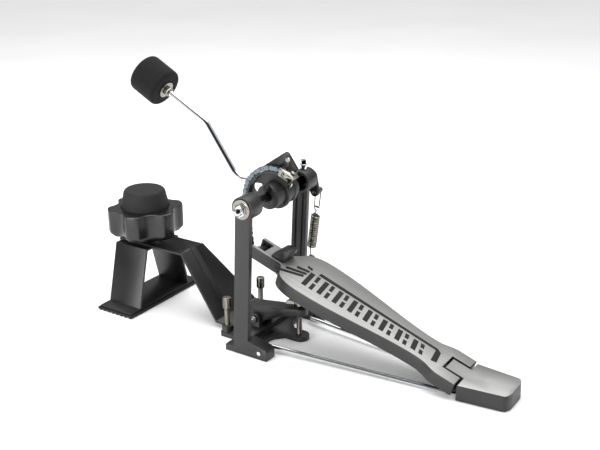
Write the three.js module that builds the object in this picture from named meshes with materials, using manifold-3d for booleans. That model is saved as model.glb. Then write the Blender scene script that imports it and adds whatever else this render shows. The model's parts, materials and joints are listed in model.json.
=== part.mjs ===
// A bass drum pedal with a chain-driven beater and a rubber-topped striking pad on a bent steel arm.
// Millimetres. +Z is up, +Y points to the drum side (away from the player), +X to the player's right.
// The origin is on the floor under the middle of the axle.
import * as THREE from "three";
import { mergeVertices } from "three/addons/utils/BufferGeometryUtils.js";
import Module from "manifold-3d";

const wasm = await Module();
wasm.setup();

// ---------------------------------------------------------------- driving dimensions
const GAP = 0.3; // clearance between two pieces that touch
const DEGREE = Math.PI / 180;

const axle = { z: 189, radius: 5, leftPast: 5.5, rightPast: 12.5 };
const bearing = { outer: 11, width: 7, inset: 4, washer: 1.6, washerRadius: 12 };
const housing = { radius: 14.5, inner: 49.5, outer: 71.5 };
const post = { inset: 1, rightInset: 12, depth: 6.5, width: 21, lean: 0.041, grooveWidth: 3, grooveDepth: 2.2 };
const foot = {
  toeY: 30,
  heelY: -31,
  toeHeight: 8,
  topHeight: 20.5,
  endHeight: 14,
  toeInnerX: 56,
  heelInnerX: 53,
};
const ledge = { height: 3, reach: 9, frontY: 22 };
const base = {
  halfWidth: 45,
  frontY: 59,
  rearY: -4,
  height: 6,
  bridgeHeight: 12,
  bridgeY: 9,
  bridgeDepth: 25,
};
const tongue = { x: 4, halfWidth: 11, endY: -43 };
const slot = { left: -33, right: -8, y: 2.5, width: 4 };
const lug = { clear: 11.5, width: 5, radius: 6.5 };
const baseScrew = { radius: 2, headRadius: 3.4, y: 15, length: 8 };

const jaw = {
  x: -3,
  pivotY: 22,
  pivotZ: 23,
  halfWidth: 11,
  thickness: 10,
  frontZ: 36.5,
  rearZ: 44,
  noseY: 48,
  noseWidth: 9,
  rearRadius: 11,
};
const pivotBolt = { radius: 2.6, headRadius: 5, headWidth: 3.5, nutWidth: 4 };
const clampScrew = { y: -30, radius: 3.5, play: 1.6 };
const wing = { hubRadius: 6.5, hubHeight: 7, span: 17, height: 9, thickness: 3, turn: -57 };
const spur = {
  x: 37,
  y: 52,
  radius: 3.5,
  headRadius: 5.5,
  headHeight: 14.7,
  top: 52,
  boss: 7,
  bossHeight: 14,
};

const board = { slope: 0.3475, thickness: 15, top: 9.9, wall: 3.2, skin: 3.6 };
const hinge = { y: -247, z: 13.5, radius: 2.5 };
const outline = {
  neckHalf: 16,
  bellyHalf: 44,
  bellyY: 206,
  waistHalf: 25.5,
  waistY: 46,
  earHalf: 32.5,
  earY: 16,
};
const neck = { startY: 252, endY: 295.5 };
const ear = { endY: -6.5, slotHalf: 14.5, slotY: 18 };
const fork = { half: 10.5, y: 277 };
const rib = { width: 3, first: 58, pitch: 38, count: 5 };
const groove = { depth: 0.9, half: 2.1, x: 9, from: 52, to: 178 };
const toePin = { y: 286, z: 1.8, radius: 2.5 };
const toeStop = { y: 257, length: 18, height: 17, halfWidth: 12, lean: 4 };

const heel = {
  frontY: -257.5,
  backY: -313,
  frontHalf: 30,
  backHalf: 24.5,
  bulge: 7,
  height: 20,
  lift: 0.8,
};
const heelTongue = { half: 12.5, frontY: -235, bottom: 9 };
const heelPad = { half: 8, length: 34, depth: 2.4, fromBack: 6 };
const rod = {
  radius: 2.5,
  footZ: 8.3,
  footY: -19.6,
  heelZ: 3.6,
  bendX: 46,
  waistX: 22,
  waistY: -240,
  endX: 18,
  endY: -276,
};

const cam = {
  x: -5,
  y: -1,
  drop: 10.5,
  rimInner: 37,
  rimOuter: 40,
  halfWidth: 5,
  web: 2,
  from: -15,
  to: 131,
};
const window1 = { y: 25, rise: 3, radius: 7 };
const hub = { radius: 15.5, left: -19, right: 30, ridgeFrom: 16, ridgeTo: 21, ridge: 1.6 };
const sidePlate = {
  thickness: 3,
  radius: 46,
  peakY: -17,
  peakRise: 53,
  endY: -30,
  endRise: 34,
  round: 4,
};
const chain = {
  pitch: 6.35,
  radius: 43.3,
  end: 3,
  core: 4.4,
  plate: 1,
  pin: 1.1,
  straight: 11,
  arc: 14,
  clevisHole: 2.3,
};
const clip = { from: 104, to: 131, sheet: 1.6, inside: 46.8, cheek: 38, screwAt: 123 };
const clevis = { plateGap: 0.5, round: 4, pin: 1, slotReach: 5 };

const beater = {
  x: 8,
  rodRadius: 3.8,
  headRadius: 25,
  headLength: 40,
  headRound: 5,
  washerRadius: 11,
  washer: 1.6,
  nutRadius: 6.5,
  nut: 5,
};
const beaterPath = {
  backY: -15,
  backRise: 11.6,
  dipY: 63.9,
  dipRise: 5.4,
  kneeY: 110.9,
  kneeRise: 70.5,
  tipY: 173.6,
  tipRise: 104.3,
};
const clampBlock = { half: 7.5, reach: 12, rise: 18.5 };
const clampBolt = { radius: 2.2, headRadius: 4.8, head: 3 };

const crank = { gap: 2.3, width: 6, pinY: -7.5, pinDrop: 19.4, radius: 9, tip: 5.5 };
const crankPin = { radius: 2.4, reach: 17.5 };
const spring = {
  reach: 13,
  eyeY: 4.5,
  eyeZ: 72,
  radius: 5.6,
  bottom: 90,
  top: 136,
  wire: 1.2,
  eye: 5,
  eyeBolt: 3,
};
const springLug = { z: 48, height: 7, reach: 6, half: 7 };
const tensionNut = { radius: 6, height: 5 };
const keyScrew = { x: 60, collar: 4.5, head: 3, headHeight: 6, collarHeight: 6 };

const pad = { y: 213, radius: 32, topRadius: 26.7, top: 156.7, plate: 3 };
const knob = {
  bottom: 95,
  top: 132,
  radius: 50,
  scallop: 20,
  scallopCentre: 60,
  lobes: 6,
  phase: 19.5,
  bevel: 6,
  recess: 9,
};
const arm = {
  thickness: 3,
  plateauZ: 88,
  left: 24,
  right: 20,
  endY: 241,
  bendY: 135,
  footY: 77,
  flatEndY: 40,
  lowLeft: 29,
  lowRight: 56,
};
const armRib = { half: 4, height: 2, from: 84, to: 142 };
const riser = { topHalf: 32, footHalf: 50.6, plateHalf: 70, depth: 54, sheet: 2.5, floor: 4 };
const mat = { halfLength: 72, halfWidth: 30, thickness: 4, ribs: 8, ribHeight: 1.6 };
const stud = { radius: 5, washerRadius: 14, washer: 2.4, nutRadius: 8.5, nutHeight: 6 };

// Places along the axle, each counted from the outer ends of the two housings.
const axleLeft = -(housing.outer + axle.leftPast);
const axleRight = housing.outer + axle.rightPast;
const postOuterX = housing.outer - post.inset;
const rightPostOuterX = housing.outer - post.rightInset;
const crankX = housing.outer + crank.gap;
const crankPinEnd = housing.outer + crankPin.reach;
const springX = housing.outer + spring.reach;

// ---------------------------------------------------------------- finishes
const finish = (color, roughness, metalness) => new THREE.MeshStandardMaterial({ color, roughness, metalness });
const castGrey = finish(0x46474a, 0.5, 0.3);
const satinBlack = finish(0x1d1e20, 0.5, 0.2);
const glossBlack = finish(0x141416, 0.3, 0);
const brushed = finish(0xa9a9a7, 0.35, 0.9);
const chrome = finish(0xd5d7da, 0.12, 1);
const nickel = finish(0xc4bfb4, 0.3, 1);
const steel = finish(0x8a9298, 0.35, 1);
const rubber = finish(0x1b1b1b, 0.9, 0);
const felt = finish(0x151515, 1, 0);

// ---------------------------------------------------------------- solids
// A closed geometry as a solid that can be joined and cut.
function solid(geometry) {
  const bare = geometry.index ? geometry.toNonIndexed() : geometry.clone();
  bare.deleteAttribute("normal");
  bare.deleteAttribute("uv");
  const merged = mergeVertices(bare, 1e-4);
  return new wasm.Manifold(
    new wasm.Mesh({
      numProp: 3,
      vertProperties: merged.attributes.position.array,
      triVerts: new Uint32Array(merged.index.array),
    }),
  );
}

// A solid back as a three.js geometry.
function geometryOf(made) {
  const mesh = made.getMesh();
  const position = new Float32Array(mesh.numVert * 3);
  for (let i = 0; i < mesh.numVert; i++) {
    position.set(mesh.vertProperties.subarray(i * mesh.numProp, i * mesh.numProp + 3), i * 3);
  }
  return new THREE.BufferGeometry()
    .setAttribute("position", new THREE.BufferAttribute(position, 3))
    .setIndex(new THREE.BufferAttribute(mesh.triVerts, 1));
}

const join = (...parts) => parts.reduce((sum, part) => sum.add(part));
const cut = (body, ...tools) => tools.reduce((left, tool) => left.subtract(tool), body);

// Columns that carry a drawing's first axis to +Y, its second to +Z and its depth to +X.
const acrossX = new THREE.Matrix4().makeBasis(
  new THREE.Vector3(0, 1, 0),
  new THREE.Vector3(0, 0, 1),
  new THREE.Vector3(1, 0, 0),
);

// A drawing in plan (X, Y), raised from z0 to z1.
function raised(shape, z0, z1, curveSegments = 12) {
  const made = new THREE.ExtrudeGeometry(shape, { depth: z1 - z0, bevelEnabled: false, curveSegments });
  return solid(made.translate(0, 0, z0));
}

// A drawing in side view (Y, Z), carried across from x0 to x1.
function across(shape, x0, x1, curveSegments = 12) {
  const made = new THREE.ExtrudeGeometry(shape, { depth: x1 - x0, bevelEnabled: false, curveSegments });
  return solid(made.applyMatrix4(acrossX).translate(x0, 0, 0));
}

const polygon = (points) => new THREE.Shape(points.map(([a, b]) => new THREE.Vector2(a, b)));

function box(x0, x1, y0, y1, z0, z1) {
  const made = new THREE.BoxGeometry(x1 - x0, y1 - y0, z1 - z0);
  return solid(made.translate((x0 + x1) / 2, (y0 + y1) / 2, (z0 + z1) / 2));
}

// Round bars along X and along Z.
function barX(radius, x0, x1, y, z, sides = 20) {
  const made = new THREE.CylinderGeometry(radius, radius, x1 - x0, sides).rotateZ(-Math.PI / 2);
  return solid(made.translate((x0 + x1) / 2, y, z));
}

function barZ(radius, z0, z1, x, y, sides = 20) {
  const made = new THREE.CylinderGeometry(radius, radius, z1 - z0, sides).rotateX(Math.PI / 2);
  return solid(made.translate(x, y, (z0 + z1) / 2));
}

// A round bar between two points.
function barBetween(radius, from, to, sides = 16) {
  const start = new THREE.Vector3(...from);
  const span = new THREE.Vector3(...to).sub(start);
  const made = new THREE.CylinderGeometry(radius, radius, span.length(), sides);
  const turn = new THREE.Quaternion().setFromUnitVectors(
    new THREE.Vector3(0, 1, 0),
    span.clone().normalize(),
  );
  made.applyQuaternion(turn);
  return solid(made.translate(...start.addScaledVector(span, 0.5).toArray()));
}

// A turned piece: [radius, height] pairs, turned about Z at (x, y), or about X at (y, z).
function turnedZ(profile, x, y, sides = 24) {
  const made = new THREE.LatheGeometry(profile.map(([r, h]) => new THREE.Vector2(r, h)), sides);
  return solid(made.rotateX(Math.PI / 2).translate(x, y, 0));
}

function turnedX(profile, y, z, sides = 24) {
  const made = new THREE.LatheGeometry(profile.map(([r, h]) => new THREE.Vector2(r, h)), sides);
  return solid(made.rotateZ(-Math.PI / 2).translate(0, y, z));
}

// A round wire swept along a smooth path through points.
function wire(radius, path, steps, sides = 8) {
  const ring = new THREE.Shape().absarc(0, 0, radius, 0, 2 * Math.PI, false);
  const section = new THREE.Shape(ring.getPoints(sides).slice(0, sides));
  return solid(new THREE.ExtrudeGeometry(section, { steps, extrudePath: path, bevelEnabled: false }));
}

// Straight runs joined by arcs of the given bend radius.
function bentPath(points, bend) {
  const path = new THREE.CurvePath();
  let from = points[0];
  for (let i = 1; i < points.length - 1; i++) {
    const back = points[i - 1].clone().sub(points[i]).normalize();
    const on = points[i + 1].clone().sub(points[i]).normalize();
    const reach = bend / Math.tan(back.angleTo(on) / 2);
    const enter = points[i].clone().addScaledVector(back, reach);
    const leave = points[i].clone().addScaledVector(on, reach);
    path.add(new THREE.LineCurve3(from, enter));
    path.add(new THREE.QuadraticBezierCurve3(enter, points[i], leave));
    from = leave;
  }
  path.add(new THREE.LineCurve3(from, points[points.length - 1]));
  return path;
}

const group = new THREE.Group();

function place(name, made, material, parent = group) {
  const mesh = new THREE.Mesh(geometryOf(made), material);
  mesh.name = name;
  parent.add(mesh);
}

// ---------------------------------------------------------------- posts and bearings
// One post casting on the side given by sign: foot, leaning post with fluted inner face, bearing housing.
function postCasting(sign, outerX) {
  const span = (a, b) => [Math.min(sign * a, sign * b), Math.max(sign * a, sign * b)];
  const half = post.width / 2;
  const leanAt = (z) => (axle.z - z) * post.lean;
  const side = polygon([
    [leanAt(0) - half, 0],
    [leanAt(0) + half, 0],
    [half, axle.z],
    [-half, axle.z],
  ]);
  const [x0, x1] = span(outerX - post.depth, outerX);
  const flutes = [-1, 1].map((way) => {
    const y = way * (half / 2 - 0.5);
    const line = polygon([
      [y + leanAt(30) - post.grooveWidth / 2, 30],
      [y + leanAt(30) + post.grooveWidth / 2, 30],
      [y + post.grooveWidth / 2, axle.z - housing.radius],
      [y - post.grooveWidth / 2, axle.z - housing.radius],
    ]);
    return across(
      line,
      ...span(outerX - post.depth - 1, outerX - post.depth + post.grooveDepth),
    );
  });
  const toe = polygon([
    [leanAt(0) - half, 0],
    [foot.toeY, 0],
    [foot.toeY, foot.toeHeight],
    [leanAt(0) - half, foot.toeHeight],
  ]);
  const wedgeShape = polygon([
    [foot.heelY, 0],
    [leanAt(0) + half, 0],
    [leanAt(foot.topHeight) - half + 2, foot.topHeight],
    [leanAt(foot.topHeight) - half, foot.topHeight],
    [foot.heelY + 2, foot.endHeight],
    [foot.heelY, foot.endHeight - 2],
  ]);
  const [l0, l1] = span(foot.heelInnerX - ledge.reach, foot.heelInnerX + 1);
  const body = join(
    cut(across(side, x0, x1), ...flutes),
    across(toe, ...span(foot.toeInnerX, postOuterX)),
    across(wedgeShape, ...span(foot.heelInnerX, postOuterX)),
    box(l0, l1, base.rearY + 1, ledge.frontY, 0, ledge.height),
    barX(housing.radius, ...span(housing.inner, housing.outer), 0, axle.z, 24),
  );
  const rodHole = barX(
    rod.radius + GAP,
    ...span(foot.heelInnerX - 1, postOuterX + 1),
    rod.footY,
    rod.footZ,
    16,
  );
  const screwHole = barZ(
    baseScrew.radius + GAP,
    -1,
    ledge.height + 1,
    sign * (foot.heelInnerX - ledge.reach / 2 - GAP),
    baseScrew.y,
    12,
  );
  const screwSeat = barZ(
    baseScrew.headRadius + GAP,
    -1,
    1.8,
    sign * (foot.heelInnerX - ledge.reach / 2 - GAP),
    baseScrew.y,
    12,
  );
  const bore = barX(bearing.outer + GAP, ...span(housing.inner - 1, housing.outer + 1), 0, axle.z, 24);
  return cut(body, rodHole, screwHole, screwSeat, bore);
}

function springLugOnPost() {
  const x0 = rightPostOuterX - post.depth;
  const [y0, y1] = [spring.eyeY - springLug.half, spring.eyeY + springLug.half];
  const arm = box(x0, springX + springLug.reach, y0, y1, springLug.z, springLug.z + springLug.height);
  return cut(arm, barZ(spring.eyeBolt + GAP, 0, 100, springX, spring.eyeY, 12));
}

place("left_post", postCasting(-1, postOuterX), castGrey);
place("right_post", join(postCasting(1, rightPostOuterX), springLugOnPost()), castGrey);

for (const [side, sign] of [["left", -1], ["right", 1]]) {
  const centre = sign * (housing.outer - bearing.inset - bearing.width / 2);
  const ring = [
    [axle.radius + GAP, centre - bearing.width / 2],
    [bearing.outer, centre - bearing.width / 2],
    [bearing.outer, centre + bearing.width / 2],
    [axle.radius + GAP, centre + bearing.width / 2],
    [axle.radius + GAP, centre - bearing.width / 2],
  ];
  place(side + "_bearing", turnedX(ring, 0, axle.z), steel);
}

// The washer and the domed nut that close the left end of the axle.
const washerFace = -housing.outer - GAP;
const ringX = (inner, outer, x0, x1) => [
  [inner, x0],
  [outer, x0],
  [outer, x1],
  [inner, x1],
  [inner, x0],
];
place(
  "left_washer",
  turnedX(
    ringX(axle.radius + GAP, bearing.washerRadius, washerFace - bearing.washer, washerFace),
    0,
    axle.z,
  ),
  nickel,
);

function domedNut() {
  const inner = washerFace - bearing.washer - GAP;
  const dome = [
    [0, axleLeft - 8],
    [2.6, axleLeft - 7.4],
    [4.8, axleLeft - 5.4],
    [6.1, axleLeft - 2.4],
    [6.1, inner - 3.5],
    [0, inner - 3.5],
  ];
  const hollow = barX(axle.radius + GAP, axleLeft - GAP, inner + 1, 0, axle.z);
  return cut(join(barX(8, inner - 4, inner, 0, axle.z, 6), turnedX(dome, 0, axle.z, 24)), hollow);
}

place("domed_nut", domedNut(), chrome);

// ---------------------------------------------------------------- base and hoop clamp
const bothSides = [["left", -1], ["right", 1]];
const spanX = (sign, a, b) => [Math.min(sign * a, sign * b), Math.max(sign * a, sign * b)];
const ledgeX = foot.heelInnerX - ledge.reach / 2 - GAP;

function baseCasting() {
  const endX = foot.heelInnerX - GAP;
  const bridgeEnd = base.bridgeY + base.bridgeDepth;
  const sideways = (way) => [
    [tongue.x + way * tongue.halfWidth, tongue.endY + tongue.halfWidth],
    [tongue.x + way * tongue.halfWidth, base.rearY - 12],
    [tongue.x + way * (tongue.halfWidth + 10), base.rearY - 2],
    [tongue.x + way * (tongue.halfWidth + 16), base.rearY],
    [way * endX, base.rearY],
    [way * endX, ledge.frontY],
    [way * base.halfWidth, bridgeEnd],
    [way * base.halfWidth, base.frontY - 3],
    [way * (base.halfWidth - 3), base.frontY],
  ];
  const bridge = box(
    -base.halfWidth,
    base.halfWidth,
    base.bridgeY,
    bridgeEnd,
    base.height - 1,
    base.bridgeHeight,
  );
  const lugs = [-1, 1].map((sign) => {
    const shape = new THREE.Shape();
    shape.moveTo(jaw.pivotY - lug.radius, base.bridgeHeight - 1);
    shape.lineTo(jaw.pivotY + lug.radius, base.bridgeHeight - 1);
    shape.lineTo(jaw.pivotY + lug.radius, jaw.pivotZ);
    shape.absarc(jaw.pivotY, jaw.pivotZ, lug.radius, 0, Math.PI, false);
    shape.closePath();
    const [x0, x1] = spanX(sign, lug.clear, lug.clear + lug.width);
    return across(shape, jaw.x + x0, jaw.x + x1, 6);
  });
  const bosses = [-1, 1].map(
    (sign) => barZ(spur.boss, base.height - 1, spur.bossHeight, sign * spur.x, spur.y),
  );
  const tools = [-1, 1].flatMap((sign) => [
    box(
      ...spanX(sign, foot.heelInnerX - ledge.reach - GAP, endX + 1),
      base.rearY - 1,
      ledge.frontY + GAP,
      -1,
      ledge.height + GAP,
    ),
    barZ(spur.radius + GAP, -1, spur.bossHeight + 1, sign * spur.x, spur.y, 16),
    barZ(baseScrew.radius + GAP, -1, base.bridgeHeight - 2, sign * ledgeX, baseScrew.y, 12),
  ]);
  const throughSlot = box(
    slot.left,
    slot.right,
    slot.y - slot.width / 2,
    slot.y + slot.width / 2,
    -1,
    base.height + 1,
  );
  const bore = barX(pivotBolt.radius + GAP, -60, 60, jaw.pivotY, jaw.pivotZ, 16);
  const plan = polygon([...sideways(-1), ...sideways(1).reverse()]);
  const tongueEnd = barZ(tongue.halfWidth, 0, base.height, tongue.x, tongue.endY + tongue.halfWidth);
  return cut(
    join(raised(plan, 0, base.height), tongueEnd, bridge, ...lugs, ...bosses),
    throughSlot,
    bore,
    ...tools,
  );
}

place("base_casting", baseCasting(), castGrey);

for (const [side, sign] of bothSides) {
  const screw = join(
    barZ(baseScrew.headRadius, 0.2, 1.8 - GAP, sign * ledgeX, baseScrew.y, 12),
    barZ(baseScrew.radius, 1, baseScrew.length, sign * ledgeX, baseScrew.y, 12),
  );
  place("base_screw_" + side, screw, steel);
  const tip = turnedZ([[0, 1], [spur.radius, 4.5], [0, 4.5]], sign * spur.x, spur.y, 16);
  const shank = barZ(spur.radius, 4, spur.top - spur.headHeight + 1, sign * spur.x, spur.y, 16);
  const head = barZ(spur.headRadius, spur.top - spur.headHeight, spur.top, sign * spur.x, spur.y, 20);
  place("spur_" + side, join(tip, shank, head), nickel);
}

// The upper jaw: a lever on the pivot bolt, its nose on the arm's flat end, its rear end pulled by the clamp screw.
function upperJaw() {
  const noseBottom = base.height + GAP + arm.thickness + GAP;
  const rearEnd = clampScrew.y - jaw.rearRadius;
  const flatFrom = -16;
  const side = new THREE.Shape();
  side.moveTo(rearEnd - 1, jaw.rearZ - jaw.thickness);
  side.lineTo(flatFrom, jaw.rearZ - jaw.thickness);
  side.lineTo(jaw.pivotY - 12, jaw.pivotZ - 2);
  side.quadraticCurveTo(jaw.pivotY - 6, jaw.pivotZ - 7, jaw.pivotY, jaw.pivotZ - 7);
  side.lineTo(jaw.noseY - jaw.noseWidth - 1, jaw.pivotZ - 5);
  side.lineTo(jaw.noseY - jaw.noseWidth, noseBottom);
  side.lineTo(jaw.noseY, noseBottom);
  side.lineTo(jaw.noseY, jaw.pivotZ);
  side.quadraticCurveTo(jaw.noseY, jaw.frontZ, jaw.noseY - 13, jaw.frontZ);
  side.lineTo(flatFrom, jaw.rearZ);
  side.lineTo(rearEnd - 1, jaw.rearZ);
  side.closePath();
  const plan = new THREE.Shape();
  plan.moveTo(jaw.x + jaw.halfWidth, jaw.noseY + 1);
  plan.lineTo(jaw.x - jaw.halfWidth, jaw.noseY + 1);
  plan.lineTo(jaw.x - jaw.halfWidth, clampScrew.y + 12);
  plan.lineTo(tongue.x - jaw.rearRadius, clampScrew.y);
  plan.absarc(tongue.x, clampScrew.y, jaw.rearRadius, Math.PI, 2 * Math.PI, false);
  plan.lineTo(jaw.x + jaw.halfWidth, clampScrew.y + 12);
  plan.closePath();
  const lever = across(side, -60, 60, 5).intersect(raised(plan, 0, 60, 8));
  const bore = barX(pivotBolt.radius + GAP, -60, 60, jaw.pivotY, jaw.pivotZ, 16);
  return cut(lever, bore, barZ(clampScrew.radius + clampScrew.play, 0, 60, tongue.x, clampScrew.y, 16));
}

place("upper_jaw", upperJaw(), castGrey);

const boltEnd = lug.clear + lug.width + GAP;
const boltRoom = barX(pivotBolt.radius + GAP, -60, 60, jaw.pivotY, jaw.pivotZ, 16);
const boltShank = barX(
  pivotBolt.radius,
  jaw.x - boltEnd - pivotBolt.nutWidth - 1,
  jaw.x + boltEnd + 1,
  jaw.pivotY,
  jaw.pivotZ,
  16,
);
const boltHead = barX(
  pivotBolt.headRadius,
  jaw.x + boltEnd,
  jaw.x + boltEnd + pivotBolt.headWidth,
  jaw.pivotY,
  jaw.pivotZ,
  6,
);
const boltNut = barX(
  pivotBolt.headRadius,
  jaw.x - boltEnd - pivotBolt.nutWidth,
  jaw.x - boltEnd,
  jaw.pivotY,
  jaw.pivotZ,
  6,
);
place("jaw_pivot_bolt", join(boltShank, boltHead), nickel);
place("jaw_pivot_nut", cut(boltNut, boltRoom), nickel);

const wingTop = jaw.rearZ + GAP + wing.hubHeight;
place(
  "clamp_screw",
  barZ(clampScrew.radius, base.height + GAP, wingTop + 1, tongue.x, clampScrew.y, 16),
  nickel,
);

function clampWing() {
  const z0 = jaw.rearZ + GAP;
  const blade = new THREE.Shape();
  blade.moveTo(-wing.span, 2);
  blade.quadraticCurveTo(-wing.span - 1, wing.height, -wing.span + 5, wing.height);
  blade.quadraticCurveTo(-wing.hubRadius, wing.height - 2, -wing.hubRadius + 2, 4);
  blade.lineTo(wing.hubRadius - 2, 4);
  blade.quadraticCurveTo(wing.hubRadius, wing.height - 2, wing.span - 5, wing.height);
  blade.quadraticCurveTo(wing.span + 1, wing.height, wing.span, 2);
  blade.lineTo(wing.hubRadius - 2, 0.5);
  blade.lineTo(2 - wing.hubRadius, 0.5);
  blade.closePath();
  const sheet = new THREE.ExtrudeGeometry(
    blade,
    { depth: wing.thickness, bevelEnabled: false, curveSegments: 5 },
  );
  sheet.translate(0, 0, -wing.thickness / 2).rotateX(Math.PI / 2).rotateZ(wing.turn * DEGREE);
  sheet.translate(tongue.x, clampScrew.y, z0);
  const hubSolid = barZ(wing.hubRadius, z0, z0 + wing.hubHeight, tongue.x, clampScrew.y, 20);
  return cut(
    join(hubSolid, solid(sheet)),
    barZ(clampScrew.radius + GAP, 0, 60, tongue.x, clampScrew.y, 16),
  );
}

place("clamp_wing", clampWing(), nickel);

// ---------------------------------------------------------------- heel plate, hinge pin, radius rods
function heelPlate() {
  const plan = new THREE.Shape();
  plan.moveTo(-heelTongue.half, heelTongue.frontY);
  plan.lineTo(-heelTongue.half, heel.frontY);
  plan.lineTo(-heel.frontHalf, heel.frontY);
  plan.lineTo(-heel.backHalf, heel.backY + 4);
  plan.quadraticCurveTo(-heel.backHalf, heel.backY, 4 - heel.backHalf, heel.backY - 1);
  plan.quadraticCurveTo(0, heel.backY - heel.bulge, heel.backHalf - 4, heel.backY - 1);
  plan.quadraticCurveTo(heel.backHalf, heel.backY, heel.backHalf, heel.backY + 4);
  plan.lineTo(heel.frontHalf, heel.frontY);
  plan.lineTo(heelTongue.half, heel.frontY);
  plan.lineTo(heelTongue.half, heelTongue.frontY);
  plan.closePath();
  const rampTop = heel.height + (heelTongue.frontY - heel.frontY) * board.slope - GAP;
  const ramp = polygon([
    [heel.frontY, heel.height - 2],
    [heelTongue.frontY, heel.height - 2],
    [heelTongue.frontY, rampTop],
    [heel.frontY, heel.height],
  ]);
  const body = join(
    raised(plan, heel.lift, heel.height, 6),
    across(ramp, -heelTongue.half, heelTongue.half),
  );
  const underTongue = box(-40, 40, heel.frontY + 1, heelTongue.frontY + 5, -1, heelTongue.bottom);
  const pinBore = barX(hinge.radius + GAP, -40, 40, hinge.y, hinge.z, 16);
  const padRoom = box(
    -heelPad.half - GAP,
    heelPad.half + GAP,
    heel.backY + heelPad.fromBack - GAP,
    heel.backY + heelPad.fromBack + heelPad.length + GAP,
    -1,
    heelPad.depth + GAP,
  );
  const rodRooms = [-1, 1].map((sign) =>
    box(
      ...spanX(sign, rod.endX - rod.radius - 0.6, rod.endX + rod.radius + 3.5),
      rod.endY - 1,
      heel.frontY + 2,
      -1,
      rod.heelZ + rod.radius + GAP,
    ),
  );
  return cut(body, underTongue, pinBore, padRoom, ...rodRooms);
}

place("heel_plate", heelPlate(), brushed);
place(
  "heel_rubber",
  box(
    -heelPad.half,
    heelPad.half,
    heel.backY + heelPad.fromBack,
    heel.backY + heelPad.fromBack + heelPad.length,
    0,
    heelPad.depth,
  ),
  rubber,
);

// A round bar bent at each inner point, with a ball at the bend.
function bentBar(radius, points) {
  const runs = points.slice(1).map((to, i) => barBetween(radius, points[i], to, 12));
  const knees = points.slice(1, -1).map(
    (at) => solid(new THREE.SphereGeometry(radius, 10, 6).translate(...at)),
  );
  return join(...runs, ...knees);
}

for (const [side, sign] of bothSides) {
  const points = [
    [sign * (postOuterX + 0.5), rod.footY, rod.footZ],
    [sign * rod.bendX, rod.footY, rod.footZ],
    [sign * rod.waistX, rod.waistY, rod.heelZ],
    [sign * rod.endX, rod.endY, rod.heelZ],
  ];
  place("radius_rod_" + side, bentBar(rod.radius, points), chrome);
}

// ---------------------------------------------------------------- footboard
// The board's own frame: origin on the hinge pin, y along the board to the toe, z square to its top.
const boardAngle = Math.atan(board.slope);
const boardGroup = new THREE.Group();
boardGroup.position.set(0, hinge.y, hinge.z);
boardGroup.rotation.x = boardAngle;
group.add(boardGroup);

// The board's right-hand edge from heel to toe, at a distance inside the outline.
function boardEdge(shape, inset) {
  const half = (value) => value - inset;
  shape.lineTo(half(outline.earHalf), outline.earY);
  shape.bezierCurveTo(
    half(outline.earHalf),
    28,
    half(outline.waistHalf),
    32,
    half(outline.waistHalf),
    outline.waistY,
  );
  shape.bezierCurveTo(
    half(outline.waistHalf),
    95,
    half(outline.bellyHalf),
    150,
    half(outline.bellyHalf),
    outline.bellyY,
  );
  shape.bezierCurveTo(half(outline.bellyHalf), 222, half(40), 235, half(32), 240);
  shape.bezierCurveTo(half(24), 245, half(outline.neckHalf), 247, half(outline.neckHalf), neck.startY);
}

// A closed plan of the board between two stations, mirrored about its centre line.
function boardPlan(inset) {
  const right = new THREE.Shape();
  right.moveTo(outline.earHalf - inset, ear.endY);
  boardEdge(right, inset);
  right.lineTo(outline.neckHalf - inset, neck.endY);
  const edge = right.getPoints(7);
  return new THREE.Shape([...edge, ...edge.map((p) => new THREE.Vector2(-p.x, p.y)).reverse()]);
}

function footboard() {
  const bottom = board.top - board.thickness;
  const body = raised(boardPlan(0), bottom, board.top);
  const cavity = raised(boardPlan(board.wall), bottom - 1, board.top - board.skin);
  const bays = Array.from({ length: rib.count }, (_, i) => {
    const from = rib.first + i * rib.pitch;
    return cavity.intersect(box(-60, 60, from, from + rib.pitch - rib.width, bottom - 1, board.top));
  });
  const heelSlot = box(-ear.slotHalf, ear.slotHalf, ear.endY - 1, ear.slotY, bottom - 1, board.top + 1);
  const toeSlot = box(-fork.half, fork.half, fork.y, neck.endY + 1, bottom - 1, board.top + 1);
  const pinBore = barX(hinge.radius + GAP, -40, 40, 0, 0, 16);
  const toeBore = barX(toePin.radius + GAP, -40, 40, toePin.y, toePin.z, 16);
  const sunk = board.top - groove.depth;
  const stripes = [
    box(groove.x - groove.half, groove.x + groove.half, groove.from, groove.to, sunk, board.top + 1),
    ...Array.from({ length: 5 }, (_, i) => chevron(70 + i * 22, sunk)),
  ];
  return cut(body, ...bays, heelSlot, toeSlot, pinBore, toeBore, ...stripes);
}

// One sunk bar of the grip pattern, slanting across the left half of the board.
function chevron(y, z) {
  const shape = polygon([
    [-16, y],
    [4, y + 8],
    [4, y + 15],
    [-16, y + 7],
  ]);
  return raised(shape, z, board.top + 1);
}

place("footboard", footboard(), brushed, boardGroup);

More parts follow.
